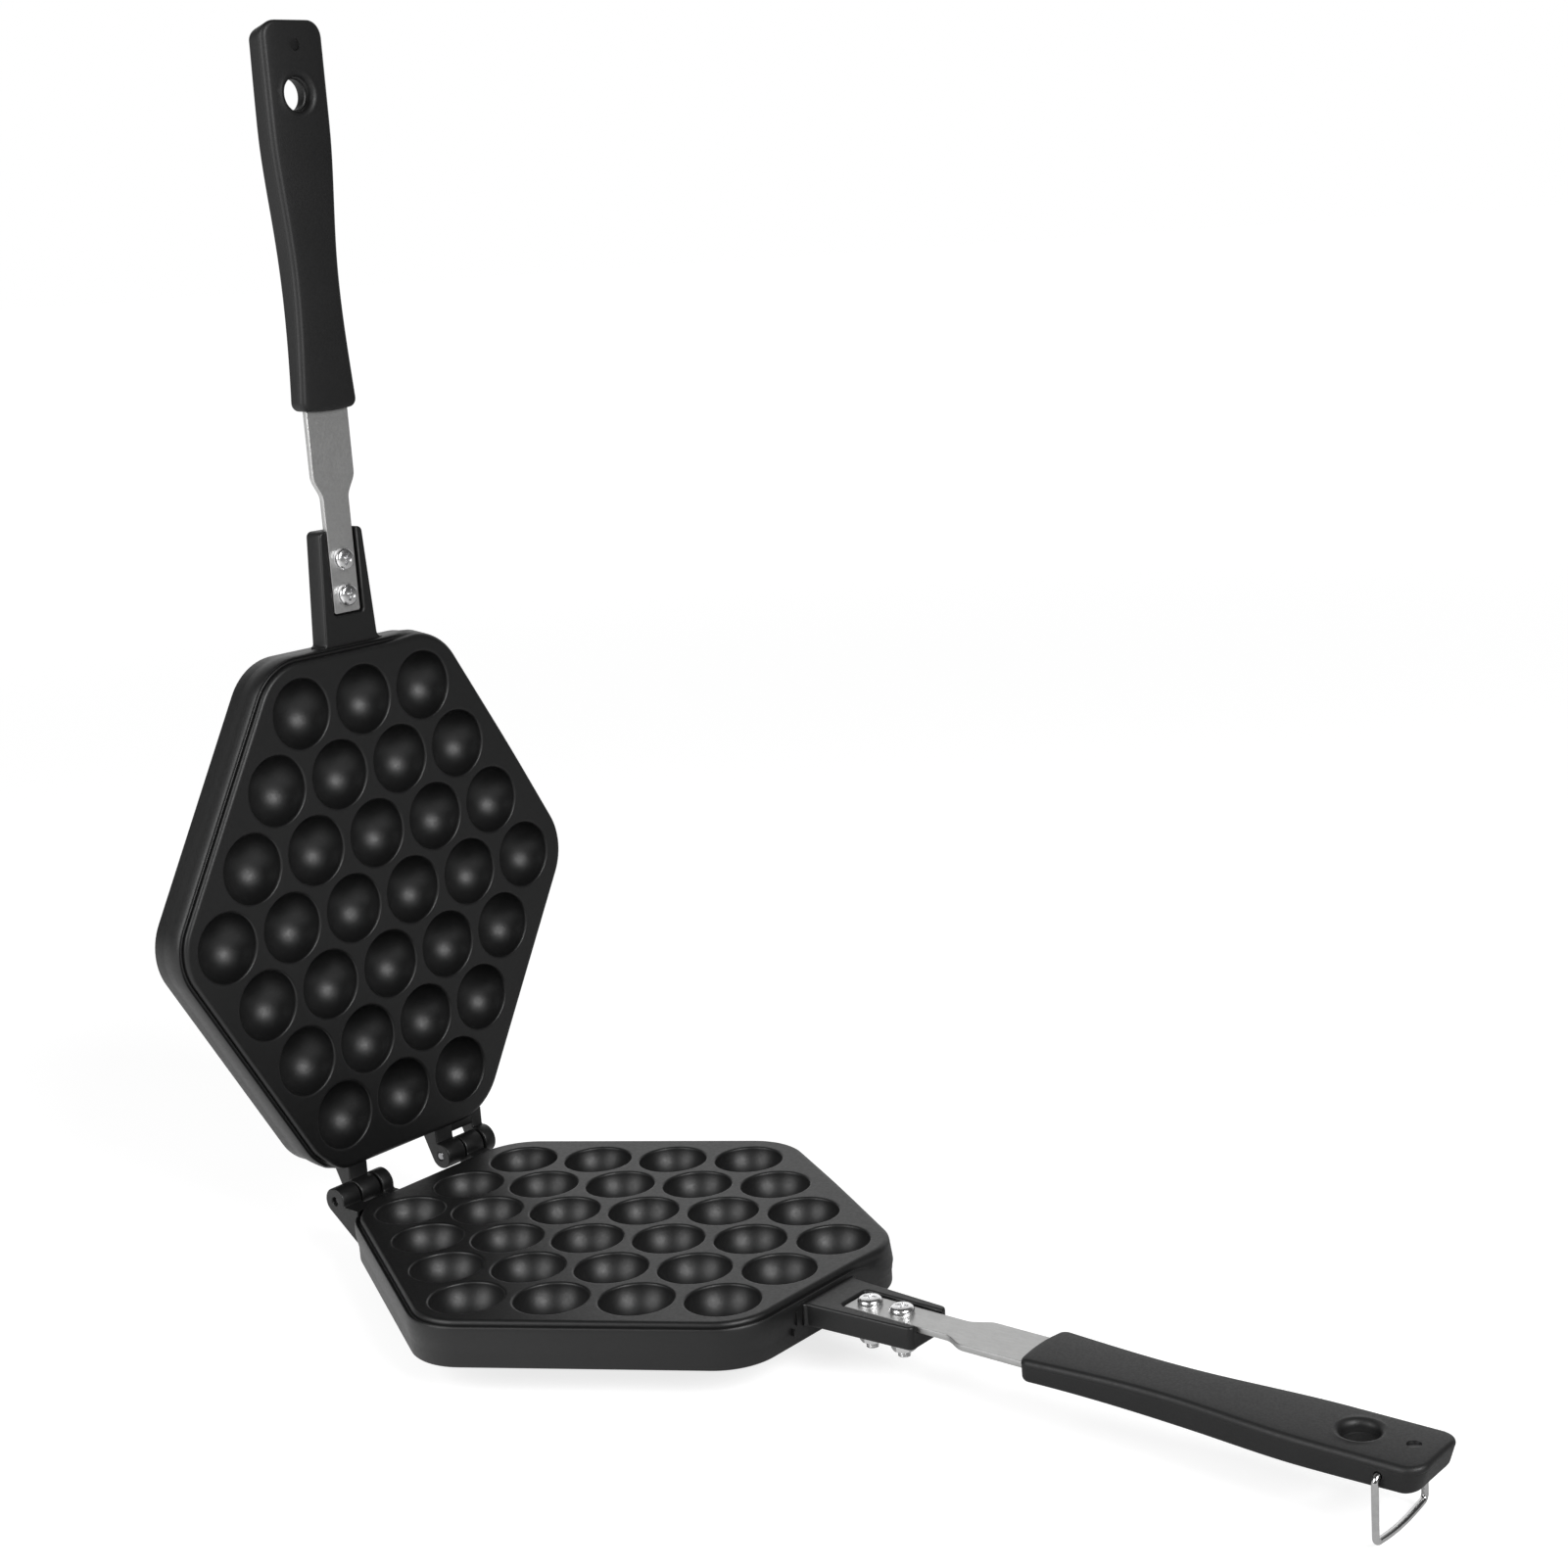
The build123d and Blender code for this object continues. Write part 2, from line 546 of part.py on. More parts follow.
# ---------------------------------------------------------------- assembly
def lower_half(shape):
    """From the casting frame to the lower half's place."""
    return Pos(0, 0, SKIRT_DEPTH) * shape


def upper_half(shape):
    """From the casting frame to the upper half's place: mirrored, closed, then opened."""
    closed = Pos(0, 0, SKIRT_DEPTH + CLOSED_GAP) * mirror(shape, about=Plane.XY)
    axis = Pos(HINGE_X, 0, SKIRT_DEPTH + HINGE_Z)
    return axis * Rot(0, -OPEN_ANGLE, 0) * axis.inverse() * closed


def handle_nodes(name, place, has_bail):
    """Tang, grip and fasteners of one half."""
    strip = tang()
    nodes = {
        name + "_tang": place(strip),
        name + "_grip": place(grip(strip, has_bail)),
    }
    stack = {
        "screw": (screw(), TANG_TOP_Z),
        "flat_washer": (flat_washer(), WASHER_TOP_Z),
        "spring_washer": (spring_washer(), SPRING_WASHER_TOP_Z),
        "nut": (nut(), NUT_TOP_Z),
    }
    for where, x in zip(("inner", "outer"), SCREW_XS):
        for piece, (shape, z) in stack.items():
            nodes[name + "_" + where + "_" + piece] = place(Pos(x, 0, z) * shape)
    return nodes


def all_nodes():
    blank = plate_blank()
    arm = bracket()
    lower_lugs = clevis(HINGE_START_NEAR, OUTER_LUG_ROOT_DEPTH) + [tongue(HINGE_START_FAR)]
    upper_lugs = clevis(HINGE_START_FAR, LUG_ROOT_DEPTH) + [tongue(HINGE_START_NEAR)]
    nodes = {
        "lower_plate": lower_half(blank + arm + lower_lugs),
        "upper_plate": upper_half(blank + arm + upper_lugs),
        "near_hinge_pin": lower_half(hinge_pin(HINGE_START_NEAR + PIN_RECESS)),
        "far_hinge_pin": upper_half(hinge_pin(HINGE_START_FAR)),
        "wire_bail": lower_half(bail()),
    }
    nodes.update(handle_nodes("lower", lower_half, True))
    nodes.update(handle_nodes("upper", upper_half, False))
    return nodes


os.makedirs("parts", exist_ok=True)
for node_name, node_shape in all_nodes().items():
    export_step(node_shape, "parts/" + node_name + ".step")
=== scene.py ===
import math
import bmesh
import bpy
import numpy as np
from mathutils import Matrix, Vector
from mathutils.geometry import delaunay_2d_cdt


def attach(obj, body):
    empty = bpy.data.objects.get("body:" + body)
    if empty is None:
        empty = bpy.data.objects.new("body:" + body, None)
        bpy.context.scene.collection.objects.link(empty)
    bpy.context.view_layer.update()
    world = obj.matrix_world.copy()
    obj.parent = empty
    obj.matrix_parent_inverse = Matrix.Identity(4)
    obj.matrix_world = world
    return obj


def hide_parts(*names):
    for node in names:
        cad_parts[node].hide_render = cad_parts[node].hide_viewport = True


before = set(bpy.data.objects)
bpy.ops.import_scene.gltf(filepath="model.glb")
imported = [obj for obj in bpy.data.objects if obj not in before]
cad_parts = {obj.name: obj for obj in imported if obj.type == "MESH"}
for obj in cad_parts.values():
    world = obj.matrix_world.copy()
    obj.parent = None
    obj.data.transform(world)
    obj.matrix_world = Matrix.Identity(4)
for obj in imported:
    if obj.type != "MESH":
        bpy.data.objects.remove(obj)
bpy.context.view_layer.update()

scene = bpy.context.scene
scene.view_settings.view_transform = "Standard"

# ---------------------------------------------------------------- camera
PHOTO_SIZE = 1601
FOCAL_PIXELS = 2628.48
SENSOR_WIDTH = 36.0
CAMERA_PLACE = (0.5763871, -0.5733693, 0.3418602)
CAMERA_RIGHT = Vector((0.76831619, 0.63669333, -0.06566455))
CAMERA_DOWN = Vector((0.08928394, -0.20819415, -0.97400389))
CAMERA_AHEAD = Vector((-0.63381275, 0.74248017, -0.21680542))


def make_camera():
    data = bpy.data.cameras.new("photo_camera")
    data.sensor_fit = "HORIZONTAL"
    data.sensor_width = SENSOR_WIDTH
    data.lens = FOCAL_PIXELS / PHOTO_SIZE * SENSOR_WIDTH
    data.clip_end = 20.0
    camera = bpy.data.objects.new("photo_camera", data)
    scene.collection.objects.link(camera)
    turn = Matrix((CAMERA_RIGHT, -CAMERA_DOWN, -CAMERA_AHEAD)).transposed().to_4x4()
    camera.matrix_world = Matrix.Translation(CAMERA_PLACE) @ turn
    scene.camera = camera


make_camera()


# ---------------------------------------------------------------- materials
class Nodes:
    """A short hand for one material's node tree; noise scales are per metre."""

    def __init__(self, name):
        self.material = bpy.data.materials.new(name)
        self.material.use_nodes = True
        self.tree = self.material.node_tree
        self.shader = self.tree.nodes["Principled BSDF"]
        self.coords = self.tree.nodes.new("ShaderNodeTexCoord").outputs["Object"]

    def add(self, kind, **settings):
        node = self.tree.nodes.new("ShaderNode" + kind)
        for key, value in settings.items():
            setattr(node, key, value)
        return node

    def link(self, a, b):
        self.tree.links.new(a, b)

    def set(self, key, value):
        self.shader.inputs[key].default_value = value

    def noise(self, scale, detail=3.0, rough=0.5, stretch=None):
        node = self.add("TexNoise")
        node.inputs["Scale"].default_value = scale
        node.inputs["Detail"].default_value = detail
        node.inputs["Roughness"].default_value = rough
        coords = self.coords
        if stretch:
            mapping = self.add("Mapping")
            mapping.inputs["Scale"].default_value = stretch
            self.link(coords, mapping.inputs["Vector"])
            coords = mapping.outputs["Vector"]
        self.link(coords, node.inputs["Vector"])
        return node.outputs["Fac"]

    def span(self, fac, low, high, start=0.3, end=0.7):
        """A number from low to high as fac goes from start to end."""
        node = self.add("MapRange")
        for key, value in (("From Min", start), ("From Max", end), ("To Min", low), ("To Max", high)):
            node.inputs[key].default_value = value
        self.link(fac, node.inputs["Value"])
        return node.outputs["Result"]

    def blend(self, noise, a, b):
        """A colour between a and b, patchy as the noise is."""
        fac = self.span(noise, 0, 1)
        node = self.add("Mix", data_type="RGBA")
        node.inputs["A"].default_value = (*a, 1)
        node.inputs["B"].default_value = (*b, 1)
        self.link(fac, node.inputs["Factor"])
        return node.outputs["Result"]

    def bump(self, height, strength, distance, below=None):
        node = self.add("Bump")
        node.inputs["Strength"].default_value = strength
        node.inputs["Distance"].default_value = distance
        self.link(height, node.inputs["Height"])
        if below is not None:
            self.link(below, node.inputs["Normal"])
        return node.outputs["Normal"]

    def finish(self, colour, roughness, normal):
        for key, output in (("Base Color", colour), ("Roughness", roughness), ("Normal", normal)):
            self.link(output, self.shader.inputs[key])
        return self.material


def coated_casting():
    """Black non-stick coat: faint patches, a fine sandy bump over a wavy one."""
    n = Nodes("coated_casting")
    n.set("Specular IOR Level", 0.55)
    colour = n.blend(n.noise(38.0, 4.0), (0.0029, 0.0030, 0.0031), (0.0044, 0.0045, 0.0046))
    roughness = n.span(n.noise(900.0), 0.41, 0.49)
    waves = n.bump(n.noise(420.0, 2.0), 0.18, 0.00012)
    specks = n.bump(n.noise(2600.0, 2.0), 0.40, 0.00006, waves)
    return n.finish(colour, roughness, specks)


def grip_plastic():
    """Black moulded plastic with a fine even grain."""
    n = Nodes("grip_plastic")
    colour = n.blend(n.noise(60.0, 4.0), (0.0045, 0.0045, 0.0047), (0.0066, 0.0066, 0.0068))
    roughness = n.span(n.noise(1200.0), 0.46, 0.56)
    grain = n.bump(n.noise(1900.0, 2.0), 0.3, 0.00008)
    return n.finish(colour, roughness, grain)


def tang_steel():
    """Brushed strip steel: the grain is drawn out along the handle."""
    n = Nodes("tang_steel")
    n.set("Metallic", 1.0)
    streaks = n.noise(900.0, 4.0, 0.7, stretch=(0.3, 1, 1))
    colour = n.blend(streaks, (0.55, 0.55, 0.545), (0.63, 0.63, 0.625))
    roughness = n.span(n.noise(1500.0), 0.42, 0.50)
    brushing = n.bump(n.noise(2400.0, 2.0, stretch=(0.12, 1, 1)), 0.2, 0.00004)
    return n.finish(colour, roughness, brushing)


def bright_metal(name, low, high, rough):
    """Plated or drawn metal with a slightly uneven gloss."""
    n = Nodes(name)
    n.set("Metallic", 1.0)
    colour = n.blend(n.noise(500.0), low, high)
    roughness = n.span(n.noise(1500.0), rough, rough + 0.1)
    grain = n.bump(n.noise(3000.0, 2.0), 0.08, 0.00003)
    return n.finish(colour, roughness, grain)


MATERIALS = {
    "coated_casting": coated_casting(),
    "grip_plastic": grip_plastic(),
    "tang_steel": tang_steel(),
    "hinge_steel": bright_metal("hinge_steel", (0.30, 0.30, 0.31), (0.42, 0.42, 0.43), 0.32),
    "zinc_plate": bright_metal("zinc_plate", (0.84, 0.84, 0.85), (0.94, 0.94, 0.94), 0.20),
    "wire_steel": bright_metal("wire_steel", (0.62, 0.62, 0.62), (0.72, 0.72, 0.72), 0.14),
}

# ---------------------------------------------------------------- sizes
# In mm, in the CAD's casting frame: each half has its cooking face at z = 0, its back below it,
# and +X from the hinge to the handle. A margin is how far a point lies outside the hexagon
# through the outer cups' centres.
MM = 0.001
SIN_60 = math.sin(math.radians(60))

CUP_PITCH = 27.5
CUP_ROWS = (3, 4, 5, 6, 5, 4, 3)
CUP_RADIUS = 12.05
CUP_DEPTH = 10.8
CUP_LIP = 0.8
CUP_BALL = (CUP_RADIUS**2 + CUP_DEPTH**2) / (2 * CUP_DEPTH)
CUP_BALL_Z = CUP_BALL - CUP_DEPTH
CUP_WALL = 2.4
DOME_BALL = CUP_BALL + CUP_WALL
CUP_STEPS = 48
DOME_STEPS = 40
UNDERSIDE_Z = -4.0
SKIRT_Z = -15.2

ROW_PITCH = CUP_PITCH * SIN_60
END_ROW_X = 3 * ROW_PITCH
SLANT_LINE = END_ROW_X / 2 + ROW_PITCH
EDGE_MARGIN = 19.75
CORE_INSET = 2.25  # the corners are rounded about points this far inside that hexagon
EDGE_X = END_ROW_X + EDGE_MARGIN
ROOT_X = EDGE_X - 2.2  # lugs and brackets start inside the plate's side

HINGE_X = -EDGE_X - 9.4
HINGE_Z = 0.15
NEAR_HINGE_Y = -36.4
FAR_HINGE_Y = 13.8
KNUCKLE_RADIUS = 4.7
NARROW_EAR_RADIUS = 5.2
LUG_TOP_Z = -1.25
LUG_DEPTH = 10.7
DEEP_LUG_DEPTH = 14.6
EAR_WIDTH = 8.2
NARROW_EAR_Y = 18.0
NARROW_EAR_WIDTH = 5.0
TONGUE_Y = 8.85
TONGUE_WIDTH = 8.5
APRON_Y = 1.0
APRON_WIDTH = 21.2
APRON_DEPTH = 9.6
EAR_BORE = 1.5
TONGUE_BORE = 1.56
PIN_RADIUS = 1.48

BRACKET_ROOT_HALF = 11.6
BRACKET_END_HALF = 9.4
BRACKET_END_X = EDGE_X + 39.1
BRACKET_BACK_Z = -10.4
CHANNEL_FLOOR_Z = -5.55
CHANNEL_HALF = 6.55
CHANNEL_X = EDGE_X + 9.8
CHANNEL_CORNER = 1.4
BRACKET_CORNER = 2.0
RAIL_TOP_Z = -2.8

TANG_X = CHANNEL_X + 0.6
TANG_TOP_Z = -3.55
TANG_THICK = 2.0
TANG_START_HALF = 5.15
TANG_NECK_HALF = 5.65
TANG_BLADE_HALF = 9.05
SCREW_XS = (TANG_X + 6.1, TANG_X + 18.4)
FASTENER_STEPS = 48
FLAT_WASHER_Z = BRACKET_BACK_Z
SPRING_WASHER_Z = -11.2
NUT_Z = -12.2
NUT_END_Z = -15.4

GRIP_X = BRACKET_END_X + 40.0
GRIP_END_X = GRIP_X + 127.5
GRIP_TOP_Z = -0.8
GRIP_ROOT_X = GRIP_X + 0.9
GRIP_WIDEST_X = GRIP_X + 94
GRIP_ROOT_HALF = 12.2
GRIP_HALF = 12.8
GRIP_TOP_ROUND = 1.7
GRIP_LOW_ROUND = 1.6
GRIP_CROWN = 0.55
GRIP_FACET = 9.0  # length of the sloped end facet
ROLL_STEPS = 7
FACE_GRID = 1.9
HOLE_X = GRIP_END_X - 24.0
HOLE_BORE = 5.4
HOLE_MOUTH = 2.1
HOLE_STEPS = 56
DIMPLE_X = GRIP_END_X - 8.3
DIMPLE_RADIUS = 2.1
DIMPLE_FLOOR = 1.9
DIMPLE_DEPTH = 0.4
BAIL_X = GRIP_END_X - 12.5
BAIL_PIVOT_Z = -5.5
WIRE_RADIUS = 1.0

CREASE = 38.0  # degrees
MERGE = 0.004  # points nearer than this become one


def at_lower(p):
    """A casting-frame point in the object's frame, in metres, with the skirt's edge at z = 0."""
    return (p[0] * MM, p[1] * MM, (p[2] - SKIRT_Z) * MM)


def at_upper(p):
    """Mirrored onto the lower half, then opened a quarter turn about the hinge."""
    return ((HINGE_X + p[2] - HINGE_Z) * MM, p[1] * MM, (p[0] - HINGE_X + HINGE_Z - SKIRT_Z) * MM)


def upright(u, v, h):
    """The spot for a prism or a turned piece that stands on the casting frame's own axes."""
    return (u, v, h)


def from_above(p):
    """A point's two flat coordinates in the casting frame's own plane."""
    return p[:2]


# ---------------------------------------------------------------- mesh helpers
def arc(cx, cy, radius, start, end, steps):
    """Points on an arc, angles in degrees."""
    angles = [math.radians(start + (end - start) * i / steps) for i in range(steps + 1)]
    return [(cx + radius * math.cos(a), cy + radius * math.sin(a)) for a in angles]


def circle(cx, cy, radius, steps):
    return arc(cx, cy, radius, 0, 360, steps)[:-1]


def fillet(before, corner, after, radius, steps=5):
    """The corner of a polyline, rounded."""
    c = Vector(corner)
    a, b = (Vector(before) - c).normalized(), (Vector(after) - c).normalized()
    half = a.angle(b) / 2
    centre = c + (a + b).normalized() * (radius / math.sin(half))
    first, last = c + a * radius / math.tan(half), c + b * radius / math.tan(half)
    u, v = first - centre, last - centre
    turn = u.angle(v)
    points = []
    for i in range(steps + 1):
        way = u * math.sin(turn * (1 - i / steps)) + v * math.sin(turn * i / steps)
        points.append(tuple(centre + way / math.sin(turn)))
    return points


def rounded(corners):
    """A closed outline from (x, y, radius) corners."""
    points = []
    for i, (x, y, radius) in enumerate(corners):
        points += fillet(corners[i - 1][:2], (x, y), corners[(i + 1) % len(corners)][:2], radius)
    return points


def inset(loop, distance):
    """A loop moved towards the material on its left."""
    moved = []
    for i, point in enumerate(loop):
        p = Vector(point)
        a = (p - Vector(loop[i - 1])).normalized()
        b = (Vector(loop[(i + 1) % len(loop)]) - p).normalized()
        side = Vector((-a.y - b.y, a.x + b.x))
        side *= 2 / max(side.length_squared, 0.5)
        moved.append(tuple(p + side * distance))
    return moved


def within(points, loops):
    """Which points lie in the material that closed loops bound."""
    p = np.array(points)[:, None, :]
    odd = np.zeros(len(points), bool)
    for loop in loops:
        a = np.array(loop)
        b = np.roll(a, -1, axis=0)
        spans = (a[:, 1] > p[..., 1]) != (b[:, 1] > p[..., 1])
        rise = np.where(a[:, 1] == b[:, 1], 1.0, b[:, 1] - a[:, 1])
        cross = a[:, 0] + (p[..., 1] - a[:, 1]) * (b[:, 0] - a[:, 0]) / rise
        odd ^= (spans & (p[..., 0] < cross)).sum(axis=1) % 2 == 1
    return odd


def edge_levels(height, radius, sign, steps):
    """(inset, height) from a flat face over its rounded edge to the wall; sign 1 starts below."""
    if not radius:
        return [(0.0, height)]
    turns = [math.radians(90 * i / steps) for i in range(steps + 1)]
    levels = [(radius * (1 - math.sin(a)), height + sign * radius * (1 - math.cos(a))) for a in turns]
    return [(radius + 0.15, height)] + levels


def shade(bm, crease):
    """Smooth shading, parted at the edges that are sharper than the crease angle."""
    for face in bm.faces:
        face.smooth = True
    for edge in bm.edges:
        edge.smooth = len(edge.link_faces) == 2 and edge.calc_face_angle(0) < math.radians(crease)


class Shape:
    """Points and faces in mm; join() makes one Blender object of them."""

    def __init__(self):
        self.points, self.faces = [], []

    def ring(self, points):
        start = len(self.points)
        self.points += [tuple(p) for p in points]
        return list(range(start, len(self.points)))

    def skin(self, rings):
        """Faces from each closed ring to the next; a corner that repeats is left out."""
        for a, b in zip(rings, rings[1:]):
            for i in range(len(a)):
                j = (i + 1) % len(a)
                self.faces.append(tuple(dict.fromkeys((a[i], a[j], b[j], b[i]))))

    def cap(self, rings):
        """One flat face on the first ring and one on the last."""
        self.faces += [tuple(rings[0]), tuple(rings[-1])]

    def fill(self, rings, plane, extra=(), height=None):
        """Flat or gently curved face between rings; plane gives a point's two flat coordinates."""
        ids = [i for ring in rings for i in ring]
        flat = [plane(self.points[i]) for i in ids]
        edges, start = [], 0
        for ring in rings:
            count = len(ring)
            edges += [(start + i, start + (i + 1) % count) for i in range(count)]
            start += count
        loops = [[plane(self.points[i]) for i in ring] for ring in rings]
        if extra:
            ids += self.ring([(x, y, height(x, y)) for x, y in extra])
            flat += extra
        points, _, faces, sources = delaunay_2d_cdt([Vector(p) for p in flat], edges, [], 0, 1e-7)[:4]
        corners = np.array([[points[i][:] for i in face] for face in faces])
        for face, keep in zip(faces, within(corners.mean(axis=1), loops)):
            if keep:
                self.faces.append(tuple(ids[sources[i][0]] for i in face))

    def lathe(self, profile, steps, spot, close=False):
        """A profile of (radius, height) turned about a line; spot places (u, v, height)."""
        rings = []
        for radius, height in profile:
            if radius == 0:
                rings.append(self.ring([spot(0, 0, height)]) * steps)
            else:
                rings.append(self.ring([spot(u, v, height) for u, v in circle(0, 0, radius, steps)]))
        self.skin(rings + rings[:1] if close else rings)
        return rings

    def prism(self, outer, low, high, spot, holes=(), round_low=0.0, round_high=0.0, steps=3):
        """A flat piece between two heights, with rounded edges round its outline and its holes."""
        levels = edge_levels(low, round_low, 1, steps) + edge_levels(high, round_high, -1, steps)[::-1]
        flat = {}
        tops, bottoms = [], []
        for loop in [outer] + [hole[::-1] for hole in holes]:
            rings = []
            for distance, height in levels:
                moved = inset(loop, distance)
                spots = [tuple(spot(u, v, height)) for u, v in moved]
                flat.update(zip(spots, moved))
                rings.append(self.ring(spots))
            self.skin(rings)
            bottoms.append(rings[0])
            tops.append(rings[-1])
        self.fill(tops, flat.get)
        self.fill(bottoms, flat.get)

    def join(self, name, place, material, crease=CREASE):
        mesh = bpy.data.meshes.new(name)
        mesh.from_pydata([place(p) for p in self.points], [], self.faces)
        bm = bmesh.new()
        bm.from_mesh(mesh)
        bmesh.ops.remove_doubles(bm, verts=bm.verts, dist=MERGE * MM)
        bmesh.ops.dissolve_degenerate(bm, edges=bm.edges, dist=MERGE * MM / 4)
        bmesh.ops.recalc_face_normals(bm, faces=bm.faces)
        shade(bm, crease)
        bm.to_mesh(mesh)
        bm.free()
        mesh.materials.append(MATERIALS[material])
        piece = bpy.data.objects.new(name, mesh)
        scene.collection.objects.link(piece)
        return piece


def cut(piece, cutter):
    """Takes the cutter's shape out of a piece."""
    modifier = piece.modifiers.new("cut", "BOOLEAN")
    modifier.object = cutter
    modifier.solver = "EXACT"
    modifier.use_self = True
    graph = bpy.context.evaluated_depsgraph_get()
    mesh = bpy.data.meshes.new_from_object(piece.evaluated_get(graph))
    piece.modifiers.clear()
    piece.data = mesh
    bpy.data.objects.remove(cutter)
    bm = bmesh.new()
    bm.from_mesh(mesh)
    shade(bm, CREASE)
    bm.to_mesh(mesh)
    bm.free()


def dress(piece, body, slot, *nodes):
    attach(piece, body)
    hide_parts(*nodes)


# ---------------------------------------------------------------- plate castings
# Profiles are drawn as points in mm: (margin, z) across a side, (radius, z) through a turned form.
CORNER_STEPS = 14
RIM_END = (18.7, -10.6)
BAND_BULGE = 0.75
SLIM_BULGE = -0.6
# where the rim turns into the band, and where the slim band has grown, as y from and to
HINGE_SIDE_TURN = (-41, -28)
HANDLE_SIDE_TURN = (12, 34)
BAND_GROWTH = (34, 74)


def cup_centres():
    """(x, y) of the 30 cups, row by row from the hinge to the handle."""
    return [(row * ROW_PITCH - END_ROW_X, (i - (count - 1) / 2) * CUP_PITCH)
            for row, count in enumerate(CUP_ROWS) for i in range(count)]


def outline_path():
    """Points (cx, cy, nx, ny) round the plate: a margin m lies CORE_INSET + m along n from c."""
    x = END_ROW_X - CORE_INSET
    y_side = (SLANT_LINE - CORE_INSET - x / 2) / SIN_60
    y_tip = (SLANT_LINE - CORE_INSET) / SIN_60
    centres = [(x, y_side), (0, y_tip), (-x, y_side), (-x, -y_side), (0, -y_tip), (x, -y_side)]
    path = []
    for k, (cx, cy) in enumerate(centres):
        for i in range(CORNER_STEPS + 1):
            a = math.radians(60 * k + 60 * i / CORNER_STEPS)
            path.append((cx, cy, math.cos(a), math.sin(a)))
        nx, ny = path[-1][2:]
        ex, ey = centres[(k + 1) % 6]
        steps = 16 if k in (2, 5) else 12
        for i in range(1, steps):
            path.append((cx + (ex - cx) * i / steps, cy + (ey - cy) * i / steps, nx, ny))
    return path


def evenly(points, count):
    """A polyline's points, spaced evenly."""
    lengths = [0.0]
    for a, b in zip(points, points[1:]):
        lengths.append(lengths[-1] + math.dist(a, b))
    out = []
    for i in range(count):
        s, k = lengths[-1] * i / (count - 1), 0
        while k < len(points) - 2 and lengths[k + 1] < s:
            k += 1
        t = (s - lengths[k]) / (lengths[k + 1] - lengths[k])
        out.append(tuple(a + (b - a) * t for a, b in zip(points[k], points[k + 1])))
    return out


def rim_profile():
    """(margin, z) down the side where a groove parts the face from a low rim."""
    face_edge = [(15.6, 0)] + arc(15.9, -1.5, 1.5, 90, 0, 7)
    groove = arc(17.85, -2.0, 0.45, 180, 270, 3) + arc(18.2, -2.0, 0.45, 270, 350, 3)
    rim = arc(19.02, -1.85, 0.37, 180, 100, 3)
    rim += [(19.08, -1.52), (19.2, -1.7), (19.3, -2.05), (19.4, -2.6), (19.46, -3.5), (19.48, -4.6)]
    rim += [(19.42, -5.8), (19.24, -7.3), (18.82, -9.6), RIM_END]
    return face_edge + groove + rim


def band_profile(bulge, count):
    """The same where the side is one thick rounded band, moved out by the bulge."""
    band = [(15.2, 0), (15.6, 0)] + arc(17.15 + bulge, -1.9, 1.9, 90, 5, 8)
    band += [(EDGE_MARGIN + bulge, -7.4)] + arc(19.3 + bulge, -8.2, 0.55, 20, -50, 3)
    return evenly(band + [(18.95, -10.3), RIM_END], count)


def smooth(value, low, high):
    """0 below low, 1 above high, and a soft step between them."""
    t = min(max((value - low) / (high - low), 0), 1)
    return t * t * (3 - 2 * t)


def side_profiles(path):
    """The side at every path point: the grooved rim towards -Y and the handle, the band elsewhere."""
    rim = rim_profile()
    reach = EDGE_MARGIN + CORE_INSET
    sides = []
    for cx, cy, nx, ny in path:
        y = cy + reach * ny
        if cx + reach * nx < 0:
            turn, bulge = smooth(y, *HINGE_SIDE_TURN), BAND_BULGE
        else:
            turn = smooth(y, *HANDLE_SIDE_TURN)
            bulge = SLIM_BULGE + (BAND_BULGE - SLIM_BULGE) * smooth(y, *BAND_GROWTH)
        band = band_profile(bulge, len(rim))
        sides.append([(m + (band_m - m) * turn, z + (band_z - z) * turn)
                      for (m, z), (band_m, band_z) in zip(rim, band)])
    return sides


def skirt_profile():
    """(margin, z) from the rim down round the skirt's edge and up inside to the underside."""
    outside = [(18.7, -14.6)] + arc(18.1, -14.6, 0.6, 0, -90, 3)[1:]
    inside = arc(15.4, -14.7, 0.5, -90, -180, 3) + [(14.9, -5.0)]
    return outside + inside + arc(13.9, -5.0, 1.0, 0, 90, 4)


def bowl_profile():
    """(radius, z) of a cup: its rounded lip, wall and ball-shaped floor."""
    lip = CUP_BALL_Z + CUP_LIP
    wall = math.sqrt(CUP_BALL**2 - lip**2)
    start = math.degrees(math.asin(lip / CUP_BALL))
    mouth = [(wall + CUP_LIP + 0.3, 0)] + arc(wall + CUP_LIP, -CUP_LIP, CUP_LIP, 90, 180 + start * 0.4, 5)
    return mouth + arc(0, CUP_BALL_Z, CUP_BALL, -start, -90, 13)[1:-1] + [(0, -CUP_DEPTH)]


def dome_profile():
    """(radius, z) of the dome behind a cup."""
    rise = math.degrees(math.asin((CUP_BALL_Z - UNDERSIDE_Z) / DOME_BALL))
    return arc(0, CUP_BALL_Z, DOME_BALL, -rise, -90, 8)[:-1] + [(0, CUP_BALL_Z - DOME_BALL)]


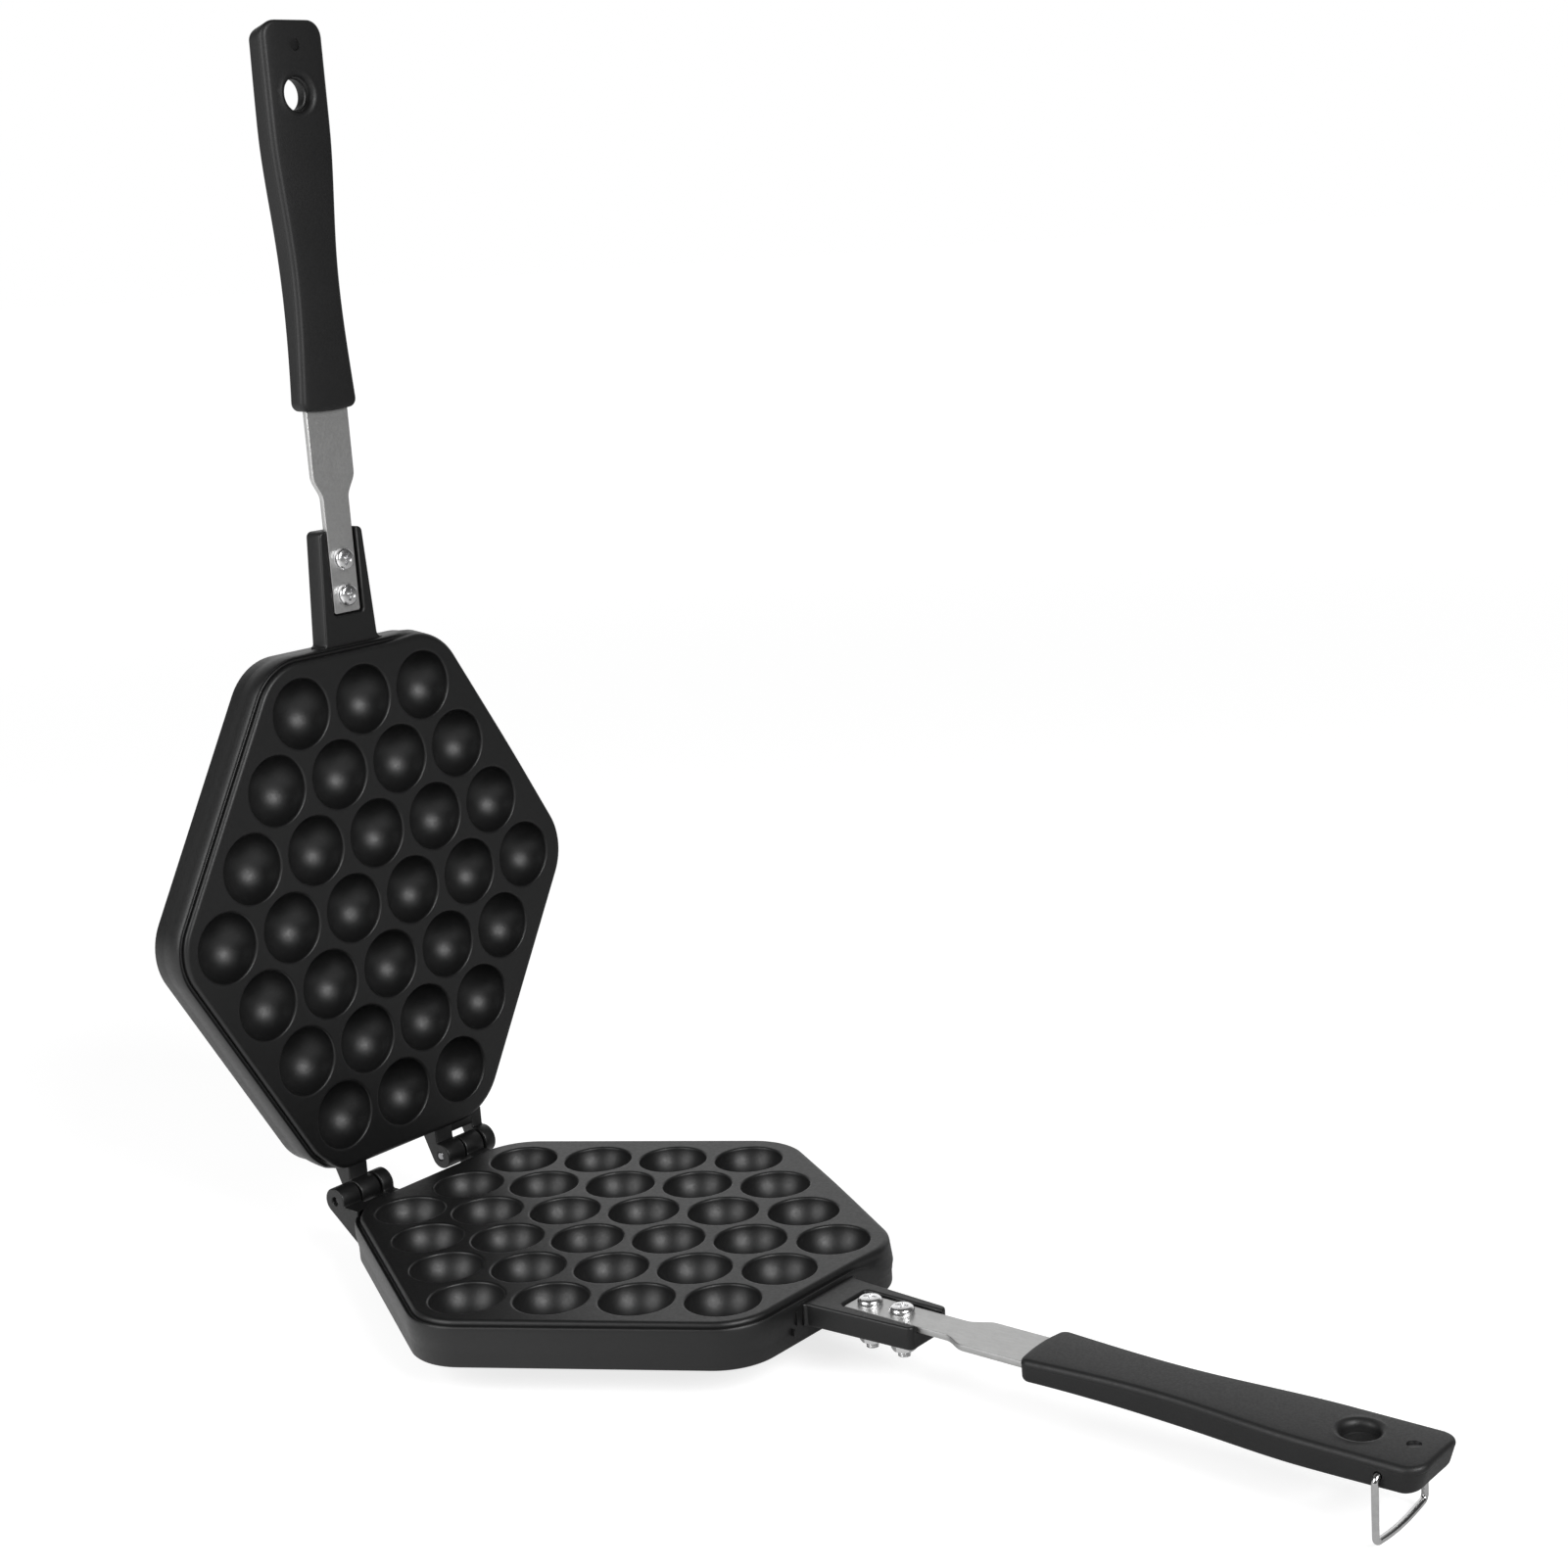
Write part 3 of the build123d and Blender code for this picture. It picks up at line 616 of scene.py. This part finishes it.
def casting(name, place, parts):
    """One plate: its side all round, the face with its cups, the underside with its domes."""
    shape = Shape()
    path = outline_path()
    skirt = skirt_profile()
    rings = []
    for level in zip(*[side + skirt for side in side_profiles(path)]):
        rings.append(shape.ring([(cx + (m + CORE_INSET) * nx, cy + (m + CORE_INSET) * ny, z)
                                 for (cx, cy, nx, ny), (m, z) in zip(path, level)]))
    shape.skin(rings)
    bowl, dome = bowl_profile(), dome_profile()
    mouths, roots = [rings[0]], [rings[-1]]
    for x, y in cup_centres():
        spot = lambda u, v, h: (x + u, y + v, h)
        mouths.append(shape.lathe(bowl, CUP_STEPS, spot)[0])
        roots.append(shape.lathe(dome, DOME_STEPS, spot)[0])
    shape.fill(mouths, from_above)
    shape.fill(roots, from_above)
    for part in parts:
        part(shape)
    return shape.join(name, place, "coated_casting")


def lug(y_start, width, depth, bore, radius=KNUCKLE_RADIUS):
    """Hinge lug: a bored knuckle and the web that carries it."""
    run, drop = -ROOT_X - HINGE_X, HINGE_Z + depth
    web_end = math.degrees(math.atan2(-drop, run) - math.acos(radius / math.hypot(run, drop))) + 360
    web_start = math.degrees(math.asin((LUG_TOP_Z - HINGE_Z + 0.5) / radius))
    outline = [(-ROOT_X, LUG_TOP_Z), (HINGE_X + radius + 0.35, LUG_TOP_Z)]
    outline += [(HINGE_X + radius + 0.05, LUG_TOP_Z + 0.15)]
    outline += arc(HINGE_X, HINGE_Z, radius, web_start, web_end, 30) + [(-ROOT_X, -depth)]

    def build(shape):
        hole = circle(HINGE_X, HINGE_Z, bore, 28)
        shape.prism(outline, y_start, y_start + width, lambda u, v, h: (u, h, v), [hole],
                    round_low=0.5, round_high=0.5)
    return build


def apron(y_start, reach):
    """Pad on the plate's wall that fills the root between the two ears of a clevis."""
    y_end, low, high = y_start + APRON_WIDTH, -APRON_DEPTH, -1.4
    corners = [(y_start, low, 1.0), (y_end, low, 1.0), (y_end, high, 0.9), (y_start, high, 0.9)]

    def build(shape):
        shape.prism(rounded(corners), ROOT_X, EDGE_X + reach, lambda u, v, h: (-h, u, v), round_high=0.7)
    return build


def clevis(y_start, depth, reach):
    """A wide ear, a narrow one, and the apron between their roots."""
    return [lug(y_start, EAR_WIDTH, depth, EAR_BORE),
            lug(y_start + NARROW_EAR_Y, NARROW_EAR_WIDTH, LUG_DEPTH, EAR_BORE, NARROW_EAR_RADIUS),
            apron(y_start + APRON_Y, reach)]


def tongue(y_start):
    """The single lug that turns between the two ears of the other half."""
    return [lug(y_start + TONGUE_Y, TONGUE_WIDTH, LUG_DEPTH, TONGUE_BORE)]


def bracket(shape):
    """Channel-shaped handle bracket: a floor and two rails."""
    def side(sign, flare):
        half = BRACKET_ROOT_HALF + flare
        root = [(ROOT_X, sign * half)] + arc(EDGE_X + flare, sign * half, flare, 180, 180 + sign * 90, 5)
        end = (BRACKET_END_X, sign * BRACKET_END_HALF)
        return root + fillet((EDGE_X, sign * BRACKET_ROOT_HALF), end, (BRACKET_END_X, 0), BRACKET_CORNER)

    near, far = side(-1, flare=1.0), side(1, flare=2.2)
    shape.prism(near + far[::-1], BRACKET_BACK_Z, CHANNEL_FLOOR_Z, upright, round_low=1.0, steps=4)
    near_mouth, far_mouth = (BRACKET_END_X, -CHANNEL_HALF), (BRACKET_END_X, CHANNEL_HALF)
    near_corner, far_corner = (CHANNEL_X, -CHANNEL_HALF), (CHANNEL_X, CHANNEL_HALF)
    channel = [near_mouth] + fillet(near_mouth, near_corner, (CHANNEL_X, 0), CHANNEL_CORNER)
    channel += fillet((CHANNEL_X, 0), far_corner, far_mouth, CHANNEL_CORNER) + [far_mouth]
    shape.prism(near + channel + far[::-1], CHANNEL_FLOOR_Z, RAIL_TOP_Z, upright, round_high=0.7)


def root_ribs(shape):
    """Short upright ribs that the casting leaves beside the lower bracket's root."""
    start, end = EDGE_X - 1.6, EDGE_X + 0.15
    for y, low, high in ((-15.6, -8.6, -4.0), (-17.4, -11.5, -9.4)):
        corners = [(start, y - 0.5), (end, y - 0.5), (end, y + 0.5), (start, y + 0.5)]
        shape.prism(corners, low, high, upright, round_low=0.25, round_high=0.25)


# ---------------------------------------------------------------- handles
def hermite(x, knots):
    """Smooth curve through (x, value, slope) knots, level beyond the first and the last."""
    if x <= knots[0][0]:
        return knots[0][1]
    if x >= knots[-1][0]:
        return knots[-1][1]
    for a, b in zip(knots, knots[1:]):
        if a[0] <= x <= b[0]:
            x0, x1 = a, b
    h = x1[0] - x0[0]
    t = (x - x0[0]) / h
    return ((1 + 2 * t) * (1 - t) ** 2 * x0[1] + t * (1 - t) ** 2 * h * x0[2]
            + t * t * (3 - 2 * t) * x1[1] + t * t * (t - 1) * h * x1[2])


def tang(name, place):
    """Steel strip with S-shaped shoulders, its sheared edges slightly rounded."""
    neck, shoulder = BRACKET_END_X + 10.2, 8.5
    knots = [(neck, TANG_NECK_HALF, 0), (neck + shoulder, TANG_BLADE_HALF, 0)]
    xs = [TANG_X + 0.5, neck - 6, neck]
    xs += [neck + shoulder * i / 12 for i in range(1, 13)] + [GRIP_X + 6.0]
    near = [(TANG_X, -TANG_START_HALF)] + [(x, -hermite(x, knots)) for x in xs]
    outline = near + [(x, -y) for x, y in near[::-1]]
    shape = Shape()
    low = TANG_TOP_Z - TANG_THICK
    shape.prism(outline, low, TANG_TOP_Z, upright, round_low=0.22, round_high=0.22)
    return shape.join(name, place, "tang_steel")


# The grip's half width and its back's height, as (x, value, slope) knots, and the seam's
# (inset, drop) steps below the top's rounded edge.
GRIP_WAIST = (GRIP_X + 50, 9.9, 0.0378)
GRIP_FLANK = [(GRIP_ROOT_X, GRIP_ROOT_HALF, -0.08), GRIP_WAIST, (GRIP_WIDEST_X, GRIP_HALF, 0)]
GRIP_BACK = [(GRIP_X - 1, -8.4, 0), (GRIP_X + 55, -10.0, 0), (GRIP_END_X - 8, -9.3, 0.03)]
GRIP_SEAM = [(0.0, 0.12), (0.08, 0.24), (0.10, 0.32), (0.06, 0.44), (0.06, 0.8)]


def grip_outline():
    """The grip from above: a bowed front, a waist, and a square end with round corners."""
    after_root = (GRIP_X + 9, -hermite(GRIP_X + 9, GRIP_FLANK))
    root = fillet((GRIP_X + 0.2, -7.0), (GRIP_ROOT_X, -GRIP_ROOT_HALF), after_root, 3.0, 9)
    xs = [GRIP_X + 4.5 + i * (85.0 / 44) for i in range(45)]
    xs += [GRIP_WIDEST_X + i * 3.4 for i in range(9)]
    flank = [(x, -hermite(x, GRIP_FLANK)) for x in xs]
    end = fillet((GRIP_END_X - 20, -GRIP_HALF), (GRIP_END_X, -GRIP_HALF), (GRIP_END_X, 0), 6.0, 12)
    bow = 83.1
    front = [(GRIP_X + bow - math.sqrt(bow**2 - y * y), y) for y in (-8, -6, -4, -2, 0)]
    near = root + flank + end + [(GRIP_END_X, y) for y in (-4.5, -2)]
    far = [(x, -y) for x, y in near[::-1]]
    return near + [(GRIP_END_X, 0)] + far + [(x, -y) for x, y in front[:-1]] + front[::-1]


def grip_top(x, y):
    """Height of the upper face: crowned, with a slanted dimple near its end."""
    crown = GRIP_CROWN * min(abs(y) / 12.5, 1) ** 2.2
    away = math.dist((x, y), (DIMPLE_X, 0.0))
    if away >= DIMPLE_RADIUS:
        return GRIP_TOP_Z - crown
    deep = DIMPLE_DEPTH * (1 + (y * 0.76 - (x - DIMPLE_X) * 0.65) / DIMPLE_FLOOR)
    return GRIP_TOP_Z - crown - deep * min(max((DIMPLE_RADIUS - away) / 0.2, 0), 1)


def grip_back(x, y):
    """Height of the lower face, the same all the way across."""
    return hermite(x, GRIP_BACK)


def grip_lean(x):
    """How much the end facet draws in per mm of depth."""
    return 0.3 * min(max((x - (GRIP_END_X - GRIP_FACET)) / GRIP_FACET, 0), 1)


def hole_profile():
    """(radius, z) through the hanging hole: two dished mouths and a narrow ring between them."""
    wide, ring, back_z = HOLE_BORE + HOLE_MOUTH, HOLE_BORE - 0.45, -9.7
    upper = [(wide + 0.4, GRIP_TOP_Z), (wide, GRIP_TOP_Z - 0.02)]
    upper += arc(wide, GRIP_TOP_Z - HOLE_MOUTH, HOLE_MOUTH, 95, 180, 6)
    middle = [(HOLE_BORE, -4.3), (ring, -4.55), (ring, -6.65), (HOLE_BORE, -6.9)]
    lower = arc(wide, back_z + HOLE_MOUTH, HOLE_MOUTH, 180, 270, 6)
    return upper + middle + lower + [(wide + 0.4, back_z)]


def grip_face_points(outline):
    """A grid of points inside the outline, clear of the hanging hole and the dimple."""
    loops = [inset(outline, 3.0), circle(HOLE_X, 0, 8.5, 24)]
    grid = [(GRIP_X + 2 + i * FACE_GRID, j * FACE_GRID + (i % 2) * FACE_GRID / 2)
            for i in range(68) for j in range(-7, 8)]
    grid = [p for p in grid if math.dist(p, (DIMPLE_X, 0.0)) > 3.0]
    return [p for p, keep in zip(grid, within(grid, loops)) if keep]


def grip(name, place):
    """Moulded grip: crowned top, faint parting seam, sloped end, hanging hole and dimple."""
    shape = Shape()
    outline = grip_outline()

    def ring(distance, height):
        """The outline moved in by a distance, at a height that depends on the place."""
        points = [(x, y, height(x, y)) for x, y in inset(outline, distance)]
        return shape.ring([(x - grip_lean(x) * (grip_top(x, y) - z), y, z) for x, y, z in points])

    def rolled(face, radius, sign, start):
        """The rounded edge between the wall and the upper (sign 1) or lower face."""
        rings = []
        for i in range(ROLL_STEPS + 1):
            a = math.radians(90 * i / ROLL_STEPS)
            height = lambda x, y: face(x, y) - sign * radius * (1 - math.sin(a))
            rings.append(ring(start + radius * (1 - math.cos(a)) * 0.999, height))
        return rings

    tops = rolled(grip_top, GRIP_TOP_ROUND, 1, 0.0)
    lows = rolled(grip_back, GRIP_LOW_ROUND, -1, 0.12)
    walls = [ring(d, lambda x, y: grip_top(x, y) - GRIP_TOP_ROUND - drop) for d, drop in GRIP_SEAM]
    shape.skin(tops[::-1] + walls + lows)

    rings = shape.lathe(hole_profile(), HOLE_STEPS, lambda u, v, h: (HOLE_X + u, v, h))
    for mouth, face in ((rings[0], grip_top), (rings[-1], grip_back)):
        for i in mouth:
            x, y, _ = shape.points[i]
            shape.points[i] = (x, y, face(x, y))

    grid = grip_face_points(outline)
    dimple = [(DIMPLE_X, 0.0)]
    for radius in (0.9, 1.7, DIMPLE_FLOOR, 2.0, DIMPLE_RADIUS, 2.25):
        dimple += circle(DIMPLE_X, 0, radius, 28)
    shape.fill([tops[-1], rings[0]], from_above, grid + dimple, grip_top)
    shape.fill([lows[-1], rings[-1]], from_above, grid, grip_back)
    return shape.join(name, place, "grip_plastic", crease=50.0)


def bail_bores(piece):
    """Bores the blind holes in the lower grip's sides that the bail's stubs turn in."""
    shape = Shape()
    radius, inner_end, outer_end = 1.25, 9.4, 14.0
    profile = [(0, inner_end), (radius, inner_end), (radius, outer_end), (0, outer_end)]
    for side in (-1, 1):
        shape.lathe(profile, 24, lambda u, v, h: (BAIL_X + u, side * h, BAIL_PIVOT_Z + v))
    cut(piece, shape.join("bore_cutter", at_lower, "grip_plastic"))


# ---------------------------------------------------------------- fasteners
def spun(name, place, profile, x, z):
    """A zinc-plated piece turned about an upright line."""
    shape = Shape()
    shape.lathe(profile, FASTENER_STEPS, lambda u, v, h: (x + u, v, z + h), close=profile[0][0] > 0)
    return shape.join(name, place, "zinc_plate")


def screw_profile():
    """(radius, height) of a domed head, a plain shank and the thread turns at its end."""
    head = [(0, 2.6), (1.4, 2.57), (2.1, 2.48)] + arc(2.35, 0.85, 1.6, 72, 5, 7)
    head += [(4.0, 0.62), (4.0, 0.18), (3.88, 0.0)]
    shank, root, pitch, z = 2.0, 1.72, 0.7, -9.0
    profile = head + [(shank, 0.0), (shank, z)]
    while z > -13.3:
        profile += [(shank, z - 0.06), (root, z - 0.3), (root, z - 0.4), (shank, z - 0.64)]
        z -= pitch
    return profile + [(1.95, z - 0.02), (1.55, -14.0), (0, -14.0)]


def screw(name, place, x):
    """Pan-head screw with a cross recess."""
    piece = spun(name, place, screw_profile(), x, TANG_TOP_Z)
    cutter = Shape()
    for turn in (20, 110):
        c, s = math.cos(math.radians(turn)), math.sin(math.radians(turn))
        rings = []
        for h, reach, wide in ((1.15, 1.2, 0.34), (2.2, 2.0, 0.46), (3.2, 2.35, 0.52)):
            corners = ((-reach, -wide), (reach, -wide), (reach, wide), (-reach, wide))
            turned = [(x + c * u - s * v, s * u + c * v, TANG_TOP_Z + h) for u, v in corners]
            rings.append(cutter.ring(turned))
        cutter.skin(rings)
        cutter.cap(rings)
    cut(piece, cutter.join("recess_cutter", place, "zinc_plate"))
    return piece


def flat_washer(name, place, x):
    """Plain washer with slightly broken edges."""
    top = [(2.2, -0.1), (2.3, 0), (4.38, 0), (4.5, -0.12)]
    bottom = [(4.5, -0.68), (4.38, -0.8), (2.3, -0.8), (2.2, -0.7)]
    return spun(name, place, top + bottom, x, FLAT_WASHER_Z)


def spring_washer(name, place, x):
    """Split washer, its two ends slightly apart."""
    shape = Shape()
    section = [(2.2, 0), (3.6, 0), (3.7, -0.1), (3.7, -0.9), (3.6, -1.0), (2.2, -1.0)]
    rings = []
    for i in range(47):
        a = math.radians(6 + 348 * i / 46)
        spots = [(x + r * math.sin(a), r * math.cos(a), SPRING_WASHER_Z + h) for r, h in section]
        rings.append(shape.ring(spots))
    shape.skin(rings)
    shape.cap(rings)
    return shape.join(name, place, "zinc_plate")


def nut(name, place, x):
    """Hexagon nut with chamfered corners and a chamfered bore."""
    shape = Shape()
    steps, half_flats, face, bore, high, low = 72, 3.5, 3.42, 2.05, NUT_Z, NUT_END_Z
    columns = []
    for i in range(steps):
        turn = 360 * i / steps
        a = math.radians(turn)
        reach = half_flats / math.cos(math.radians((turn + 30) % 60 - 30))
        fall = max(reach - face, 0) * 0.58
        section = [(bore, high - 0.25), (2.3, high), (face, high), (reach, high - fall)]
        section += [(reach, low + fall), (face, low), (2.3, low), (bore, low + 0.25)]
        columns.append([(x + r * math.cos(a), r * math.sin(a), z) for r, z in section])
    rings = [shape.ring(level) for level in zip(*columns)]
    shape.skin(rings + rings[:1])
    return shape.join(name, place, "zinc_plate", crease=20.0)


def hinge_pin(name, place, y_start, length):
    """Plain pin with chamfered ends."""
    chamfer, end = 0.25, 1.2
    profile = [(0, 0), (end, 0), (PIN_RADIUS, chamfer)]
    profile += [(PIN_RADIUS, length - chamfer), (end, length), (0, length)]
    shape = Shape()
    shape.lathe(profile, 32, lambda u, v, h: (HINGE_X + u, y_start + h, HINGE_Z + v))
    return shape.join(name, place, "hinge_steel")


def bail():
    """Bent wire: stubs in the grip's sides, two legs and a bowed bar."""
    y, z, low, bend = 14.3, BAIL_PIVOT_Z, -24.1, 1.9
    half = [(-9.8, z), (-11.5, z)] + fillet((-10, z), (-y, z), (-y, -9), bend, 8)
    half += [(-y, -12), (-y, -18)] + fillet((-y, -12), (-y, low), (0, low - 1.5), bend, 8)
    half += [(-9, low - 0.66), (-6, low - 0.95), (-3, low - 1.14)]
    route = half + [(0, low - 1.21)] + [(-a, b) for a, b in half[::-1]]
    points = [Vector((BAIL_X, a, b)) for a, b in route]
    across = Vector((1, 0, 0))
    shape = Shape()
    rings = []
    for before, p, after in zip(points[:1] + points, points, points[1:] + points[-1:]):
        side = (after - before).normalized().cross(across)
        rings.append(shape.ring([p + across * u + side * v for u, v in circle(0, 0, WIRE_RADIUS, 24)]))
    shape.skin(rings)
    shape.cap(rings)
    return shape.join("bail_wire", at_lower, "wire_steel")


# ---------------------------------------------------------------- assembly
FASTENERS = {"screw": screw, "flat_washer": flat_washer, "spring_washer": spring_washer, "nut": nut}
lower_parts = clevis(NEAR_HINGE_Y, DEEP_LUG_DEPTH, 3.7) + tongue(FAR_HINGE_Y) + [bracket, root_ribs]
upper_parts = clevis(FAR_HINGE_Y, LUG_DEPTH, 2.9) + tongue(NEAR_HINGE_Y) + [bracket]
for half, place, parts in (("lower", at_lower, lower_parts), ("upper", at_upper, upper_parts)):
    body = half + "_half"
    plate = casting(half + "_casting", place, parts)
    dress(plate, body, "coated_casting", half + "_plate")
    dress(tang(half + "_strip", place), body, "tang_steel", half + "_tang")
    handle = grip(half + "_handle", place)
    if half == "lower":
        bail_bores(handle)
    dress(handle, body, "grip_plastic", half + "_grip")
    for where, x in zip(("inner", "outer"), SCREW_XS):
        for kind, make in FASTENERS.items():
            node = "_".join((half, where, kind))
            dress(make(node + "_detail", place, x), body, "zinc_plate", node)
near_pin = hinge_pin("near_pin", at_lower, NEAR_HINGE_Y + 1.5, 21.5)
dress(near_pin, "lower_half", "hinge_steel", "near_hinge_pin")
far_pin = hinge_pin("far_pin", at_upper, FAR_HINGE_Y, 22.0)
dress(far_pin, "upper_half", "hinge_steel", "far_hinge_pin")
dress(bail(), "bail", "wire_steel", "wire_bail")

# ---------------------------------------------------------------- floor and light, in metres
FLOOR_Z = -0.0117
FLOOR_HALF = 40.0
BEHIND = (-0.649, 0.761, 0.0)  # level, from the front of the studio to its far side
TO_THE_LEFT = (-0.70, -0.71, 0.0)
LAMP_TARGET = Vector((0.0, 0.0, 0.1))


def side_level(tree, point, axis, near, far, dim, bright):
    """A level that rises smoothly along one of the studio's own axes."""
    dot = tree.nodes.new("ShaderNodeVectorMath")
    dot.operation = "DOT_PRODUCT"
    dot.inputs[1].default_value = axis
    tree.links.new(point, dot.inputs[0])
    level = tree.nodes.new("ShaderNodeMapRange")
    level.interpolation_type = "SMOOTHSTEP"
    for key, value in (("From Min", near), ("From Max", far), ("To Min", dim), ("To Max", bright)):
        level.inputs[key].default_value = value
    tree.links.new(dot.outputs["Value"], level.inputs["Value"])
    return level.outputs["Result"]


def by_ray(tree, rays, yes, no):
    """One of two levels: yes where the number rays is 1, no where it is 0."""
    mix = tree.nodes.new("ShaderNodeMix")
    tree.links.new(rays, mix.inputs["Factor"])
    for key, value in (("A", no), ("B", yes)):
        if isinstance(value, float):
            mix.inputs[key].default_value = value
        else:
            tree.links.new(value, mix.inputs[key])
    return mix.outputs["Result"]


def ray_levels(tree, camera, shine, other):
    """What the camera sees, what gloss and glass see, and what lights the rest."""
    path = tree.nodes.new("ShaderNodeLightPath")
    shiny = tree.nodes.new("ShaderNodeMath")
    shiny.operation = "MAXIMUM"
    tree.links.new(path.outputs["Is Glossy Ray"], shiny.inputs[0])
    tree.links.new(path.outputs["Is Transmission Ray"], shiny.inputs[1])
    unseen = by_ray(tree, shiny.outputs[0], shine, other)
    return by_ray(tree, path.outputs["Is Camera Ray"], camera, unseen)


def make_floor():
    """A wide pale floor, a little brighter far off; in reflections only its left side is bright."""
    n = Nodes("studio_floor")
    n.set("Base Color", (0.45, 0.45, 0.45, 1))
    n.set("Roughness", 1.0)
    n.set("Specular IOR Level", 0.0)
    n.set("Emission Color", (1, 1, 1, 1))
    place = n.add("NewGeometry").outputs["Position"]
    away = n.add("VectorMath", operation="LENGTH")
    n.link(place, away.inputs[0])
    seen = n.span(away.outputs["Value"], 0.78, 0.94, start=0.4, end=2.5)
    shine = side_level(n.tree, place, TO_THE_LEFT, near=-0.15, far=0.15, dim=0.05, bright=0.57)
    n.link(ray_levels(n.tree, seen, shine, 0.0), n.shader.inputs["Emission Strength"])
    mesh = bpy.data.meshes.new("studio_floor")
    corners = [(x * FLOOR_HALF, y * FLOOR_HALF, FLOOR_Z) for x, y in ((-1, -1), (1, -1), (1, 1), (-1, 1))]
    mesh.from_pydata(corners, [], [(0, 1, 2, 3)])
    mesh.materials.append(n.material)
    floor = bpy.data.objects.new("studio_floor", mesh)
    scene.collection.objects.link(floor)


def make_world():
    """White to the camera; in reflections it is bright behind the object only."""
    world = bpy.data.worlds.new("studio")
    scene.world = world
    world.use_nodes = True
    tree = world.node_tree
    back = tree.nodes["Background"]
    back.inputs["Color"].default_value = (1, 1, 1, 1)
    way = tree.nodes.new("ShaderNodeTexCoord").outputs["Generated"]
    shine = side_level(tree, way, BEHIND, near=0.38, far=0.95, dim=0.05, bright=1.0)
    tree.links.new(ray_levels(tree, 1.0, shine, 0.20), back.inputs["Strength"])


def softbox(name, azimuth, elevation, distance, size, radiance):
    """A round area lamp that looks at the object."""
    data = bpy.data.lights.new(name, "AREA")
    data.shape = "DISK"
    data.size = size
    data.energy = radiance * math.pi * (math.pi * size * size / 4)
    lamp = bpy.data.objects.new(name, data)
    scene.collection.objects.link(lamp)
    a, e = math.radians(azimuth), math.radians(elevation)
    way = Vector((math.cos(e) * math.cos(a), math.cos(e) * math.sin(a), math.sin(e)))
    lamp.location = LAMP_TARGET + way * distance
    lamp.rotation_euler = way.to_track_quat("Z", "Y").to_euler()


make_floor()
make_world()
softbox("key_softbox", azimuth=-14, elevation=31, distance=1.25, size=0.66, radiance=11.6)
softbox("left_softbox", azimuth=-104, elevation=28, distance=1.3, size=1.0, radiance=4.3)
